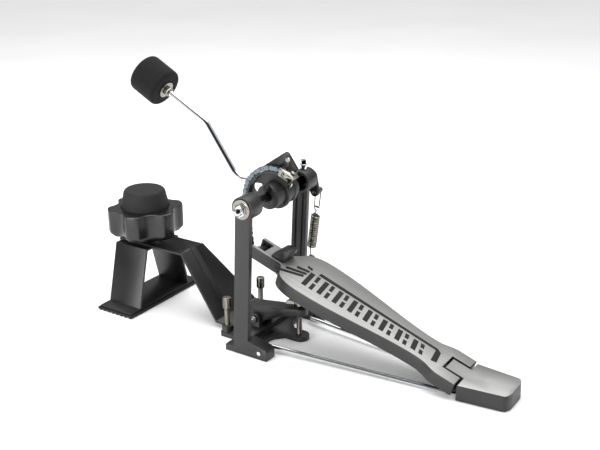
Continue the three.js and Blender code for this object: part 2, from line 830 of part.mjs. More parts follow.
// The toe stop: a fin that rises from the neck, leaning a little toward the player.
function toeStopFin() {
  const rear = toeStop.y - toeStop.length / 2;
  const front = toeStop.y + toeStop.length / 2;
  const foot = board.top + GAP;
  const side = new THREE.Shape();
  side.moveTo(rear, foot);
  side.lineTo(front, foot);
  side.quadraticCurveTo(toeStop.y + 5, foot + toeStop.height * 0.85, rear + 2, foot + toeStop.height);
  side.lineTo(rear - toeStop.lean, foot + toeStop.height - 1);
  side.closePath();
  const face = new THREE.Shape();
  face.moveTo(-toeStop.halfWidth, 0);
  face.lineTo(toeStop.halfWidth, 0);
  face.quadraticCurveTo(toeStop.halfWidth, toeStop.height, 0, toeStop.height + 10);
  face.quadraticCurveTo(-toeStop.halfWidth, toeStop.height, -toeStop.halfWidth, 0);
  const wall = new THREE.ExtrudeGeometry(face, { depth: 80, bevelEnabled: false, curveSegments: 8 });
  wall.rotateX(Math.PI / 2).translate(0, toeStop.y + 40, board.top);
  return across(side, -30, 30, 8).intersect(solid(wall));
}

place("toe_stop", toeStopFin(), satinBlack, boardGroup);
place(
  "toe_pin",
  barX(toePin.radius, 1 - outline.neckHalf, outline.neckHalf - 1, toePin.y, toePin.z, 16),
  steel,
  boardGroup,
);
place(
  "heel_hinge_pin",
  barX(hinge.radius, 2 - outline.earHalf, outline.earHalf - 2, hinge.y, hinge.z, 16),
  steel,
);

// ---------------------------------------------------------------- chain geometry
const camZ = axle.z - cam.drop;
const step = 2 * Math.asin(chain.pitch / 2 / chain.radius);
const leave = Math.atan2(-0.1033, 0.99465); // where the chain leaves the cam at rest
const onArc = (angle, radius = chain.radius) => [
  cam.y + radius * Math.cos(angle),
  camZ + radius * Math.sin(angle),
];
const arcPin = (k) => onArc(leave + k * step);
const leavePoint = onArc(leave);
const straightPin = (k) => [
  leavePoint[0] + k * chain.pitch * Math.sin(leave),
  leavePoint[1] - k * chain.pitch * Math.cos(leave),
];

// The rounded bar around two pins, in side view, carried across from x0 to x1.
function eyeBar(from, to, radius, x0, x1) {
  const angle = Math.atan2(to[1] - from[1], to[0] - from[0]);
  const shape = new THREE.Shape();
  shape.absarc(to[0], to[1], radius, angle - Math.PI / 2, angle + Math.PI / 2, false);
  shape.absarc(from[0], from[1], radius, angle + Math.PI / 2, angle + 1.5 * Math.PI, false);
  shape.closePath();
  return across(shape, x0, x1, 2);
}

// Both side plates of every second link between the pins.
function sidePlates(pins) {
  const inside = chain.core / 2 + GAP;
  const plates = [];
  for (let k = 0; k + 1 < pins.length; k += 2) {
    plates.push(eyeBar(pins[k], pins[k + 1], chain.end, cam.x - inside - chain.plate, cam.x - inside));
    plates.push(eyeBar(pins[k], pins[k + 1], chain.end, cam.x + inside, cam.x + inside + chain.plate));
  }
  return join(...plates);
}

const crossPin = (pin, radius = chain.pin) => {
  const half = chain.core / 2 + GAP + chain.plate;
  return barX(radius, cam.x - half, cam.x + half, ...pin, 6);
};
const coreBar = (from, to, radius) => eyeBar(
  from,
  to,
  radius,
  cam.x - chain.core / 2,
  cam.x + chain.core / 2,
);
const pinRoom = (pin, radius) => barX(radius, cam.x - 30, cam.x + 30, ...pin, 10);

// ---------------------------------------------------------------- cam, hub and chain
function sector(radius, x0, x1) {
  const shape = new THREE.Shape();
  shape.moveTo(cam.y, camZ);
  shape.absarc(cam.y, camZ, radius, cam.from * DEGREE, cam.to * DEGREE, false);
  shape.closePath();
  return across(shape, x0, x1, 16);
}

const hubRoom = barX(hub.radius + GAP, -60, 60, 0, axle.z, 24);
const webX = cam.x + cam.halfWidth;

function camWheel() {
  const near = cam.x - cam.halfWidth;
  const rim = cut(
    sector(cam.rimOuter, near, webX),
    barX(cam.rimInner, near - 1, webX + 1, cam.y, camZ, 48),
  );
  const web = join(
    sector(cam.rimInner + 1, webX - cam.web, webX),
    barX(hub.radius + 4, webX - cam.web, webX, 0, axle.z, 32),
  );
  const sight = barX(window1.radius, -60, 60, window1.y, axle.z + window1.rise);
  const [screwY, screwZ] = onArc(clip.screwAt * DEGREE, 0);
  const thread = barBetween(
    1.6,
    [cam.x, screwY, screwZ],
    [cam.x, ...onArc(clip.screwAt * DEGREE, 60)],
    12,
  );
  return cut(join(rim, web), hubRoom, sight, thread);
}

place("cam_wheel", camWheel(), castGrey);

// The stop plate beside the cam, with the raised corner that carries the rivet.
function stopPlate() {
  const x0 = webX + GAP;
  const top = onArc(66 * DEGREE, sidePlate.radius);
  const shape = new THREE.Shape();
  shape.moveTo(...top);
  shape.lineTo(sidePlate.peakY + sidePlate.round, axle.z + sidePlate.peakRise);
  shape.quadraticCurveTo(
    sidePlate.peakY,
    axle.z + sidePlate.peakRise,
    sidePlate.peakY - sidePlate.round / 2,
    axle.z + sidePlate.peakRise - sidePlate.round,
  );
  shape.lineTo(sidePlate.endY, axle.z + sidePlate.endRise);
  shape.lineTo(-hub.radius - 1, axle.z + 6);
  shape.lineTo(hub.radius - 4, axle.z + 10);
  shape.closePath();
  const ring = barX(hub.radius + 4, x0, x0 + sidePlate.thickness, 0, axle.z, 32);
  const plate = join(across(shape, x0, x0 + sidePlate.thickness, 5), ring);
  const rivetRoom = barX(2.3, -60, 60, sidePlate.peakY, axle.z + sidePlate.peakRise - 9, 16);
  return cut(plate, hubRoom, rivetRoom);
}

place("stop_plate", stopPlate(), satinBlack);

function stopRivet() {
  const x0 = webX + GAP;
  const at = [sidePlate.peakY, axle.z + sidePlate.peakRise - 9];
  const heads = barX(3.6, x0 - 1.7, x0 - GAP, ...at, 16);
  return join(barX(2, x0 - 1, x0 + sidePlate.thickness + 1, ...at, 16), heads);
}

place("stop_rivet", stopRivet(), nickel);

const rodPoint = (y, rise) => new THREE.Vector3(beater.x, y, axle.z + rise);
const rodLine = bentPath(
  [
    rodPoint(beaterPath.backY, beaterPath.backRise),
    rodPoint(beaterPath.dipY, beaterPath.dipRise),
    rodPoint(beaterPath.kneeY, beaterPath.kneeRise),
    rodPoint(beaterPath.tipY, beaterPath.tipRise),
  ],
  16,
);
const rodSlope = Math.atan2(
  beaterPath.dipRise - beaterPath.backRise,
  beaterPath.dipY - beaterPath.backY,
);
const rodRiseAt = (y) => beaterPath.backRise + (y - beaterPath.backY) * Math.tan(rodSlope);

function hubCasting() {
  const body = turnedX(
    [
      [axle.radius + GAP, hub.left],
      [hub.radius, hub.left],
      [hub.radius, hub.ridgeFrom],
      [hub.radius + hub.ridge, hub.ridgeFrom + 1],
      [hub.radius + hub.ridge, hub.ridgeTo],
      [hub.radius, hub.ridgeTo + 1],
      [hub.radius - 2, hub.right],
      [axle.radius + GAP, hub.right],
      [axle.radius + GAP, hub.left],
    ],
    0,
    axle.z,
  );
  const blockFrom = webX + sidePlate.thickness + 2 * GAP;
  const block = box(
    blockFrom,
    beater.x + clampBlock.half,
    -clampBlock.reach,
    clampBlock.reach,
    axle.z + 8,
    axle.z + clampBlock.rise,
  );
  const far = 40;
  const rodBore = barBetween(
    beater.rodRadius + GAP,
    [beater.x, -far, axle.z + rodRiseAt(-far)],
    [beater.x, far, axle.z + rodRiseAt(far)],
    20,
  );
  const boltBore = barX(clampBolt.radius + GAP, -60, beater.x, 0, axle.z + rodRiseAt(0), 12);
  return cut(join(body, block), barX(axle.radius + GAP, -60, 60, 0, axle.z), rodBore, boltBore);
}

place("hub", hubCasting(), satinBlack);

const clampHeadFace = hub.left - GAP;
const clampHeadRadius = Math.min(clampBolt.headRadius, rodRiseAt(0) - axle.radius - GAP);
place(
  "rod_clamp_bolt",
  join(
    barX(
      clampHeadRadius,
      clampHeadFace - clampBolt.head,
      clampHeadFace,
      0,
      axle.z + rodRiseAt(0),
      20,
    ),
    barX(
      clampBolt.radius,
      clampHeadFace - 1,
      beater.x - beater.rodRadius - GAP,
      0,
      axle.z + rodRiseAt(0),
      12,
    ),
  ),
  steel,
);
place("axle", barX(axle.radius, axleLeft, axleRight, 0, axle.z), steel);

// The chain: a run wrapped on the cam, four free links, and the straight run to the toe.
function chainOnCam() {
  const pins = Array.from({ length: chain.arc - 4 }, (_, i) => arcPin(i + 5));
  const first = coreBar(arcPin(4), pins[0], chain.end);
  const cores = pins.slice(2).flatMap(
    (pin, i) => (i % 2 ? [] : [coreBar(pins[i + 1], pin, chain.end)]),
  );
  const room = pinRoom(arcPin(4), chain.pin + GAP);
  const clipRoom = pinRoom(pins[pins.length - 1], chain.pin + 2 * GAP);
  return cut(
    join(sidePlates(pins), ...pins.map((pin) => crossPin(pin)), first, ...cores),
    room,
    clipRoom,
  );
}

place("chain_on_cam", chainOnCam(), steel);
for (const [index, k] of [[1, 3], [2, 2], [3, 1], [4, 0]]) {
  const ends = [arcPin(k), arcPin(k + 1)];
  const outer = join(sidePlates(ends), ...ends.map((pin) => crossPin(pin)));
  const inner = cut(coreBar(...ends, chain.end), ...ends.map((pin) => pinRoom(pin, chain.pin + GAP)));
  place("chain_link_" + index, index % 2 ? outer : inner, steel);
}

function chainRun() {
  const pins = Array.from({ length: chain.straight }, (_, k) => straightPin(k));
  const last = straightPin(chain.straight);
  const cores = pins.slice(2).flatMap(
    (pin, i) => (i % 2 ? [] : [coreBar(pins[i + 1], pin, chain.end)]),
  );
  const tail = coreBar(pins[pins.length - 1], last, chain.end);
  const room = pinRoom(last, chain.clevisHole);
  return cut(join(sidePlates(pins), ...pins.map((pin) => crossPin(pin)), ...cores, tail), room);
}

place("chain_run", chainRun(), steel);

// The clip over the chain's upper end: a bent sheet, the pin through the last link, the screw into the rim.
function chainClip() {
  const near = cam.x - cam.halfWidth - GAP - clip.sheet;
  const band = (inside, outside, x0, x1) => {
    const shape = new THREE.Shape();
    shape.absarc(cam.y, camZ, outside, clip.from * DEGREE, clip.to * DEGREE, false);
    shape.absarc(cam.y, camZ, inside, clip.to * DEGREE, clip.from * DEGREE, true);
    shape.closePath();
    return across(shape, x0, x1, 10);
  };
  const bridge = band(clip.inside, clip.inside + clip.sheet, near, webX);
  const cheek = band(clip.cheek, clip.inside + 0.5, near, near + clip.sheet);
  const screwRoom = barBetween(
    1.6,
    [cam.x, cam.y, camZ],
    [cam.x, ...onArc(clip.screwAt * DEGREE, 60)],
    12,
  );
  return cut(join(bridge, cheek), screwRoom, pinRoom(arcPin(chain.arc), chain.pin + GAP));
}

place("chain_clip", chainClip(), nickel);

function clipScrew() {
  const at = (radius) => [cam.x, ...onArc(clip.screwAt * DEGREE, radius)];
  const seat = clip.inside + clip.sheet + GAP;
  return join(
    barBetween(1.3, at(cam.rimInner), at(seat + 0.5), 12),
    barBetween(3.4, at(seat), at(seat + 2.2), 16),
  );
}

place("clip_screw", clipScrew(), steel);
place(
  "clip_pin",
  barX(chain.pin, cam.x - cam.halfWidth - GAP - clip.sheet - 0.8, webX - 1, ...arcPin(chain.arc), 12),
  steel,
);

// The block that hangs on the toe pin and holds the chain's lower end.
function toeClevis() {
  const end = straightPin(chain.straight);
  const pinY = hinge.y + (toePin.y * Math.cos(boardAngle) - toePin.z * Math.sin(boardAngle));
  const pinZ = hinge.z + (toePin.y * Math.sin(boardAngle) + toePin.z * Math.cos(boardAngle));
  const x0 = -fork.half + clevis.plateGap;
  const x1 = fork.half - clevis.plateGap;
  const block = eyeBar([pinY, pinZ], end, clevis.round, x0, x1);
  const half = chain.core / 2 + GAP + chain.plate + 1;
  const slotBox = box(
    cam.x - half,
    cam.x + half,
    end[0] - clevis.slotReach,
    end[0] + 12,
    end[1] - 12,
    end[1] + 14,
  );
  const toeBore = barX(toePin.radius + GAP, -40, 40, pinY, pinZ, 16);
  return cut(
    block,
    slotBox,
    toeBore,
    pinRoom(end, clevis.pin + GAP).add(barX(clevis.pin + GAP, -40, 40, ...end, 12)),
  );
}

place("toe_clevis", toeClevis(), satinBlack);
place(
  "clevis_pin",
  barX(clevis.pin, 0.5 - fork.half, fork.half - 0.5, ...straightPin(chain.straight), 12),
  steel,
);

// ---------------------------------------------------------------- beater
place("beater_rod", wire(beater.rodRadius, rodLine, 24, 10), chrome);

const headAngle = Math.atan2(
  beaterPath.tipRise - beaterPath.kneeRise,
  beaterPath.tipY - beaterPath.kneeY,
);

// A turned piece on the beater's own axis, measured forward from the back of the head.
function onBeaterAxis(profile, sides) {
  const made = new THREE.LatheGeometry(profile.map(([r, h]) => new THREE.Vector2(r, h)), sides);
  made.rotateX(headAngle).translate(beater.x, beaterPath.tipY, axle.z + beaterPath.tipRise);
  return solid(made);
}

const bore = beater.rodRadius + GAP;
const behind = (gap, thickness) => [-gap - thickness, -gap];
function beaterHead() {
  const r = beater.headRadius;
  const round = beater.headRound;
  const profile = [
    [0, 0],
    [r - round, 0],
    [r - round * 0.3, round * 0.3],
    [r, round],
    [r, beater.headLength - round],
    [r - round * 0.3, beater.headLength - round * 0.3],
    [r - round, beater.headLength],
    [0, beater.headLength],
  ];
  return onBeaterAxis(profile, 28);
}
const rodTip = 0.3;
place(
  "beater_head",
  cut(beaterHead(), onBeaterAxis([[0, -5], [bore, -5], [bore, rodTip + GAP], [0, rodTip + GAP]], 20)),
  felt,
);

const beaterRing = (inner, outer, [h0, h1], sides) => onBeaterAxis(
  [[inner, h0], [outer, h0], [outer, h1], [inner, h1], [inner, h0]],
  sides,
);
place("beater_washer", beaterRing(bore, beater.washerRadius, behind(GAP, beater.washer), 20), nickel);
const nutAt = behind(2 * GAP + beater.washer, beater.nut);
const nutBody = onBeaterAxis(
  [[0, nutAt[0]], [beater.nutRadius, nutAt[0]], [beater.nutRadius, nutAt[1]], [0, nutAt[1]]],
  6,
);
place(
  "beater_nut",
  cut(
    nutBody,
    onBeaterAxis([[0, nutAt[0] - 1], [bore, nutAt[0] - 1], [bore, nutAt[1] + 1], [0, nutAt[1] + 1]], 20),
  ),
  nickel,
);

// ---------------------------------------------------------------- crank and return spring
const pinZ = axle.z - crank.pinDrop;
const crankEnd = crankX + crank.width;
function crankArm() {
  const shape = new THREE.Shape();
  const lean = Math.atan2(-crank.pinDrop, crank.pinY);
  shape.absarc(0, axle.z, crank.radius, lean + Math.PI / 2, lean + 1.5 * Math.PI, false);
  shape.absarc(crank.pinY, pinZ, crank.tip, lean - Math.PI / 2, lean + Math.PI / 2, false);
  shape.closePath();
  const bores = [
    barX(axle.radius + GAP, 60, 100, 0, axle.z),
    barX(crankPin.radius + GAP, 60, 100, crank.pinY, pinZ, 16),
  ];
  return cut(across(shape, crankX, crankEnd, 10), ...bores);
}

place("spring_crank", crankArm(), satinBlack);
const grip = springX + spring.wire + GAP;
place(
  "crank_pin",
  join(
    barX(crankPin.radius, crankX, crankPinEnd, crank.pinY, pinZ, 16),
    barX(crankPin.radius + 1.6, crankPinEnd - 2, crankPinEnd, crank.pinY, pinZ, 16),
  ),
  steel,
);

// The spring's line runs from its lower eye up to the crank pin.
const springLine = new THREE.Vector2(crank.pinY - spring.eyeY, pinZ - spring.eyeZ);
const springAt = (z) => [spring.eyeY + ((z - spring.eyeZ) * springLine.x) / springLine.y, z];
const springBar = (radius, z0, z1, sides) => barBetween(
  radius,
  [springX, ...springAt(z0)],
  [springX, ...springAt(z1)],
  sides,
);
const springEye = (at) => {
  const outer = barX(spring.eye, springX - spring.wire, springX + spring.wire, ...at, 20);
  return cut(outer, barX(spring.eye - 1.6, springX - 5, springX + 5, ...at, 20));
};
const lowerEye = [spring.eyeY, spring.eyeZ];
place(
  "spring_lower",
  join(
    springEye(lowerEye),
    springBar(spring.wire, spring.eyeZ + spring.eye - 1, spring.bottom + 2, 12),
    springBar(spring.radius, spring.bottom, 112.85, 20),
  ),
  nickel,
);
place(
  "spring_upper",
  join(
    springEye([crank.pinY, pinZ]),
    springBar(spring.wire, spring.top - 2, pinZ - spring.eye + 1, 12),
    springBar(spring.radius, 113.15, spring.top, 20),
  ),
  nickel,
);

// The eye bolt, its hook pin through the spring's lower eye, and the nut that sets the tension.
function eyeBolt() {
  const forkTop = join(
    barX(5, springX - 4.5, springX - spring.wire - GAP - 0.2, ...lowerEye, 20),
    barX(5, springX + spring.wire + GAP + 0.2, springX + 4.5, ...lowerEye, 20),
    barX(1.6, springX - 4.5, springX + 4.5, ...lowerEye, 12),
    box(
      springX - 4.5,
      springX + 4.5,
      spring.eyeY - 3,
      spring.eyeY + 3,
      spring.eyeZ - 9,
      spring.eyeZ - spring.eye - 0.6,
    ),
    box(
      springX - 4.5,
      springX - spring.wire - GAP - 0.2,
      spring.eyeY - 3,
      spring.eyeY + 3,
      spring.eyeZ - 8,
      spring.eyeZ,
    ),
    box(
      springX + spring.wire + GAP + 0.2,
      springX + 4.5,
      spring.eyeY - 3,
      spring.eyeY + 3,
      spring.eyeZ - 8,
      spring.eyeZ,
    ),
  );
  return join(
    forkTop,
    barZ(spring.eyeBolt, springLug.z - 12, spring.eyeZ - 8, springX, spring.eyeY, 16),
  );
}

place("eye_bolt", eyeBolt(), nickel);
const tensionRing = (z0) => cut(
  barZ(tensionNut.radius, z0, z0 + tensionNut.height, springX, spring.eyeY, 6),
  barZ(spring.eyeBolt + GAP, 0, 100, springX, spring.eyeY, 16),
);
place("tension_nut", tensionRing(springLug.z - GAP - tensionNut.height), nickel);


// The square-headed key screw on top of the right bearing housing.
const keySeat = axle.z + housing.radius + GAP;
place(
  "key_screw",
  join(
    barZ(keyScrew.collar, keySeat, keySeat + keyScrew.collarHeight, keyScrew.x, 0, 20),
    barZ(
      keyScrew.head * Math.SQRT2,
      keySeat + keyScrew.collarHeight - 1,
      keySeat + keyScrew.collarHeight + keyScrew.headHeight,
      keyScrew.x,
      0,
      4,
    ),
  ),
  chrome,
);

// ---------------------------------------------------------------- striking pad, its arm and its riser
const sheetStart = riser.floor;
const riserTop = arm.plateauZ - arm.thickness - GAP;
const riserY = [pad.y - riser.depth / 2, pad.y + riser.depth / 2];

function padMat() {
  const wide = box(
    -mat.halfLength,
    mat.halfLength,
    pad.y - mat.halfWidth,
    pad.y + mat.halfWidth,
    mat.ribHeight,
    mat.thickness - GAP,
  );
  const pitch = (2 * mat.halfWidth) / mat.ribs;
  const ribs = Array.from({ length: mat.ribs }, (_, i) => {
    const y = pad.y - mat.halfWidth + pitch * (i + 0.25);
    return box(-mat.halfLength, mat.halfLength, y, y + pitch / 2, 0, mat.ribHeight + 0.5);
  });
  return join(wide, ...ribs);
}

place("riser_mat", padMat(), rubber);

// The riser in front view (X, Z): one sheet, legs splayed, flat feet on the mat.
function riserBracket() {
  const t = riser.sheet;
  const right = [
    [riser.topHalf, riserTop],
    [riser.footHalf + 1, sheetStart + t],
    [riser.plateHalf, sheetStart + t],
    [riser.plateHalf, sheetStart],
    [riser.footHalf - 1, sheetStart],
    [riser.topHalf - t, riserTop - t],
  ];
  const outline = [...right, ...right.map(([x, z]) => [-x, z]).reverse()];
  const made = new THREE.ExtrudeGeometry(polygon(outline), { depth: riser.depth, bevelEnabled: false });
  const body = solid(made.rotateX(Math.PI / 2).translate(0, riserY[1], 0));
  const plate = box(-riser.footHalf, riser.footHalf, ...riserY, sheetStart, sheetStart + t);
  return cut(join(body, plate), barZ(stud.radius + GAP, 50, 100, 0, pad.y));
}

place("riser_bracket", riserBracket(), satinBlack);

function strapArm() {
  const t = arm.thickness;
  const top = arm.plateauZ;
  const low = base.height + GAP;
  const lean = Math.atan2(top - t - low, arm.bendY - arm.footY);
  const shift = t * Math.tan(lean / 2);
  const side = polygon([
    [arm.endY, top - t],
    [arm.endY, top],
    [arm.bendY - shift, top],
    [arm.footY - shift, low + t],
    [arm.flatEndY, low + t],
    [arm.flatEndY, low],
    [arm.footY, low],
    [arm.bendY, top - t],
  ]);
  const inner = spur.x - spur.boss - 1;
  const plan = polygon([
    [-arm.left, arm.endY],
    [-arm.left, arm.bendY],
    [-arm.lowLeft, arm.footY],
    [-inner, arm.footY - 12],
    [-inner, arm.flatEndY],
    [inner, arm.flatEndY],
    [inner, spur.y + spur.boss + 1],
    [arm.lowRight, spur.y + spur.boss + 2],
    [arm.lowRight, arm.footY],
    [arm.right, arm.bendY],
    [arm.right, arm.endY],
  ]);
  const ribSide = polygon([
    [armRib.to + 4, top - 1],
    [arm.bendY - shift - 2, top + armRib.height],
    [armRib.from - shift, low + t + armRib.height + 10],
    [arm.footY - shift + 2, low + t],
    [arm.footY - shift + 8, low + 1],
    [arm.bendY - shift / 2, top - 2],
  ]);
  const body = across(side, -80, 80).intersect(raised(plan, 0, 120));
  return cut(
    join(body, across(ribSide, -armRib.half, armRib.half)),
    barZ(stud.radius + GAP, 50, 100, 0, pad.y),
  );
}

place("strap_arm", strapArm(), satinBlack);

const ringZ = (inner, outer, z0, z1) => [
  [inner, z0],
  [outer, z0],
  [outer, z1],
  [inner, z1],
  [inner, z0],
];
const washerTop = arm.plateauZ + GAP + stud.washer;
place(
  "stud_washer",
  turnedZ(ringZ(stud.radius + GAP, stud.washerRadius, arm.plateauZ + GAP, washerTop), 0, pad.y),
  nickel,
);
place(
  "stud_nut",
  cut(
    barZ(
      stud.nutRadius,
      riserTop - riser.sheet - GAP - stud.nutHeight,
      riserTop - riser.sheet - GAP,
      0,
      pad.y,
      6,
    ),
    barZ(stud.radius + GAP, 0, 100, 0, pad.y),
  ),
  nickel,
);

// The height knob: six lobes between scallops, bevelled below, hollow above for the pad.
function liftKnob() {
  const disc = turnedZ(
    [
      [0, knob.bottom],
      [knob.radius - knob.bevel, knob.bottom],
      [knob.radius, knob.bottom + knob.bevel],
      [knob.radius, knob.top - 1.5],
      [knob.radius - 2, knob.top],
      [0, knob.top],
    ],
    0,
    pad.y,
    36,
  );
  const scallops = Array.from({ length: knob.lobes }, (_, i) => {
    const angle = (knob.phase + (i + 0.5) * (360 / knob.lobes)) * DEGREE;
    const x = knob.scallopCentre * Math.cos(angle);
    const y = pad.y + knob.scallopCentre * Math.sin(angle);
    return barZ(knob.scallop, knob.bottom - 1, knob.top + 1, x, y, 20);
  });
  const room = barZ(pad.radius + GAP, knob.top - knob.recess, knob.top + 1, 0, pad.y, 32);
  return cut(disc, ...scallops, room, barZ(stud.radius + GAP, 50, 160, 0, pad.y));
}

place("lift_knob", liftKnob(), glossBlack);

const padFloor = knob.top - knob.recess + GAP;
place(
  "lift_stud",
  join(
    barZ(stud.radius, 74, padFloor + 1, 0, pad.y),
    barZ(pad.radius - 4, padFloor, padFloor + pad.plate, 0, pad.y, 24),
  ),
  steel,
);
const capProfile = [
  [0, padFloor + pad.plate + GAP],
  [pad.radius, padFloor + pad.plate + GAP],
  [pad.radius, knob.top],
  [pad.topRadius + 1, pad.top - 5],
  [pad.topRadius - 1, pad.top - 2],
  [pad.topRadius - 4, pad.top],
  [0, pad.top],
];
place("rubber_cap", turnedZ(capProfile, 0, pad.y, 32), rubber);

export default group;
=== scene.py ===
import json
import math

import bmesh
import bpy
from mathutils import Matrix, Quaternion, Vector


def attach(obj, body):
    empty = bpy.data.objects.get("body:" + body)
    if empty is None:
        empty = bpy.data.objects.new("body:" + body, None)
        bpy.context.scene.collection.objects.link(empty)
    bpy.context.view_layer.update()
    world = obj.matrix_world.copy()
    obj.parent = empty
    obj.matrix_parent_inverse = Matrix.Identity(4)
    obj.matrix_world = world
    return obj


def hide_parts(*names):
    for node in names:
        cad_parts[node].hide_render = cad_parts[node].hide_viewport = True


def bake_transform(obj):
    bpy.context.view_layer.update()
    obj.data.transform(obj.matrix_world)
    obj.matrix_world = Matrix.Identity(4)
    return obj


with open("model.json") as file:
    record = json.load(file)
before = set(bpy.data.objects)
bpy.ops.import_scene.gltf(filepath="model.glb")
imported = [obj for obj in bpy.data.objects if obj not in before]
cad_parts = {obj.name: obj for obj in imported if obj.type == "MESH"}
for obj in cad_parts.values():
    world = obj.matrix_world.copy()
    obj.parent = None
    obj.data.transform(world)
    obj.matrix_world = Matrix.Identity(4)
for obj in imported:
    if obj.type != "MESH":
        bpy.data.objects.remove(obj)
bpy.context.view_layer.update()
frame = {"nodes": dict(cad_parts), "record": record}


# ---------------------------------------------------------------- posts and base
# Die-cast aluminium in a dark grey powder coat: two leaning posts, the base that joins
# them and the lever of the hoop clamp. Cast edges are rounded by 0.7 mm.
def hexed(code):
    channels = [int(code[i : i + 2], 16) / 255 for i in (1, 3, 5)]
    return tuple(c / 12.92 if c <= 0.04045 else ((c + 0.055) / 1.055) ** 2.4 for c in channels) + (1,)


def add(tree, kind, settings=None, **links):
    """Adds a node; a link's value is a plain value or another node's output."""
    made = tree.nodes.new(kind)
    for key, value in (settings or {}).items():
        setattr(made, key, value)
    for key, value in links.items():
        socket = made.inputs[int(key[1:])] if key[0] == "_" else made.inputs[key.replace("__", " ")]
        if isinstance(value, bpy.types.NodeSocket):
            tree.links.new(value, socket)
        else:
            socket.default_value = value
    return made


def new_material(name, **surface):
    made = bpy.data.materials.new(name)
    made.use_nodes = True
    tree = made.node_tree
    shader = tree.nodes["Principled BSDF"]
    for key, value in surface.items():
        shader.inputs[key.replace("__", " ")].default_value = value
    return made, tree, shader


def ramp(tree, factor, low, high, start=0.3, end=0.7):
    made = add(tree, "ShaderNodeValToRGB", None, Fac=factor)
    made.color_ramp.elements[0].position = start
    made.color_ramp.elements[1].position = end
    made.color_ramp.elements[0].color = low
    made.color_ramp.elements[1].color = high
    return made.outputs["Color"]


def span(tree, factor, low, high):
    made = add(tree, "ShaderNodeMapRange", None, _0=factor, _3=low, _4=high)
    return made.outputs[0]


def powder_coat(name, dark, light, rough):
    """Baked powder paint: an orange-peel surface with lumps of about 0.8 mm."""
    made, tree, shader = new_material(name, Metallic=0.0, IOR=1.5)
    place = add(tree, "ShaderNodeTexCoord").outputs["Object"]
    broad = add(tree, "ShaderNodeTexNoise", None, Vector=place, Scale=28.0, Detail=4.0).outputs[0]
    peel = add(tree, "ShaderNodeTexNoise", None, Vector=place, Scale=1200.0, Detail=2.0).outputs[0]
    tree.links.new(ramp(tree, broad, hexed(dark), hexed(light)), shader.inputs["Base Color"])
    tree.links.new(span(tree, broad, rough - 0.05, rough + 0.07), shader.inputs["Roughness"])
    bump = add(tree, "ShaderNodeBump", None, Strength=0.22, Distance=0.0002, Height=peel)
    tree.links.new(bump.outputs[0], shader.inputs["Normal"])
    return made


cast_paint = powder_coat("powder coated die casting", "#1e1e1e", "#272726", 0.4)
MM = 0.001
body_of = {n: b for b, members in frame["record"]["behaviour"]["bodies"].items() for n in members}


def link_up(piece, node, also=()):
    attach(piece, body_of[node])
    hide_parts(node, *also)
    return piece


def shade(mesh, angle=35):
    mesh.polygons.foreach_set("use_smooth", [True] * len(mesh.polygons))
    mesh.set_sharp_from_angle(angle=math.radians(angle))


def object_of(name, bm, *materials):
    mesh = bpy.data.meshes.new(name)
    bm.to_mesh(mesh)
    bm.free()
    for material in materials:
        mesh.materials.append(material)
    shade(mesh)
    made = bpy.data.objects.new(name, mesh)
    bpy.context.scene.collection.objects.link(made)
    return made


def settled(piece):
    """The piece as its modifiers leave it, as a plain mesh."""
    graph = bpy.context.evaluated_depsgraph_get()
    mesh = bpy.data.meshes.new_from_object(piece.evaluated_get(graph))
    piece.modifiers.clear()
    piece.data = mesh
    return piece


def rounded(node, material, width=0.5, turn=32):
    """A CAD node's shape with its corners rounded over."""
    bm = bmesh.new()
    bm.from_mesh(frame["nodes"][node].data)
    bmesh.ops.remove_doubles(bm, verts=bm.verts, dist=1e-6)
    bmesh.ops.dissolve_limit(bm, angle_limit=math.radians(0.6), verts=bm.verts, edges=bm.edges)
    piece = object_of(node + "_finished", bm, material)
    bevel = piece.modifiers.new("edge", "BEVEL")
    bevel.width = width * MM
    bevel.segments = 2
    bevel.limit_method = "ANGLE"
    bevel.angle_limit = math.radians(turn)
    bevel.harden_normals = False
    bevel.use_clamp_overlap = True
    settled(piece)
    shade(piece.data, 40)
    return link_up(piece, node)


def keep(node, material):
    """A CAD node that stays as it is, in a real finish."""
    shown = frame["nodes"][node]
    for one in shown.material_slots:
        one.link = "OBJECT"
        one.material = material


CAST_ROUND = 0.7
for cast in ("left_post", "right_post", "base_casting", "upper_jaw"):
    rounded(cast, cast_paint, CAST_ROUND)


# ---------------------------------------------------------------- bearings, axle and its end nut
# Ground steel axle in two ball bearings. A nickel washer and a chrome domed nut close its
# left end; a square-headed key screw stands on the right housing.
def plated(name, tint, rough, grain):
    """Electroplated steel: mirror-like, with faint polishing marks in the roughness."""
    made, tree, shader = new_material(name, Metallic=1.0, Base__Color=hexed(tint))
    place = add(tree, "ShaderNodeTexCoord").outputs["Object"]
    marks = add(tree, "ShaderNodeTexNoise", None, Vector=place, Scale=grain, Detail=5.0).outputs[0]
    tree.links.new(span(tree, marks, rough * 0.8, rough * 1.25), shader.inputs["Roughness"])
    paler = tuple(min(1, c * 1.06) for c in hexed(tint)[:3]) + (1,)
    tree.links.new(ramp(tree, marks, hexed(tint), paler), shader.inputs["Base Color"])
    bump = add(tree, "ShaderNodeBump", None, Strength=0.03, Distance=0.0001, Height=marks)
    tree.links.new(bump.outputs[0], shader.inputs["Normal"])
    return made


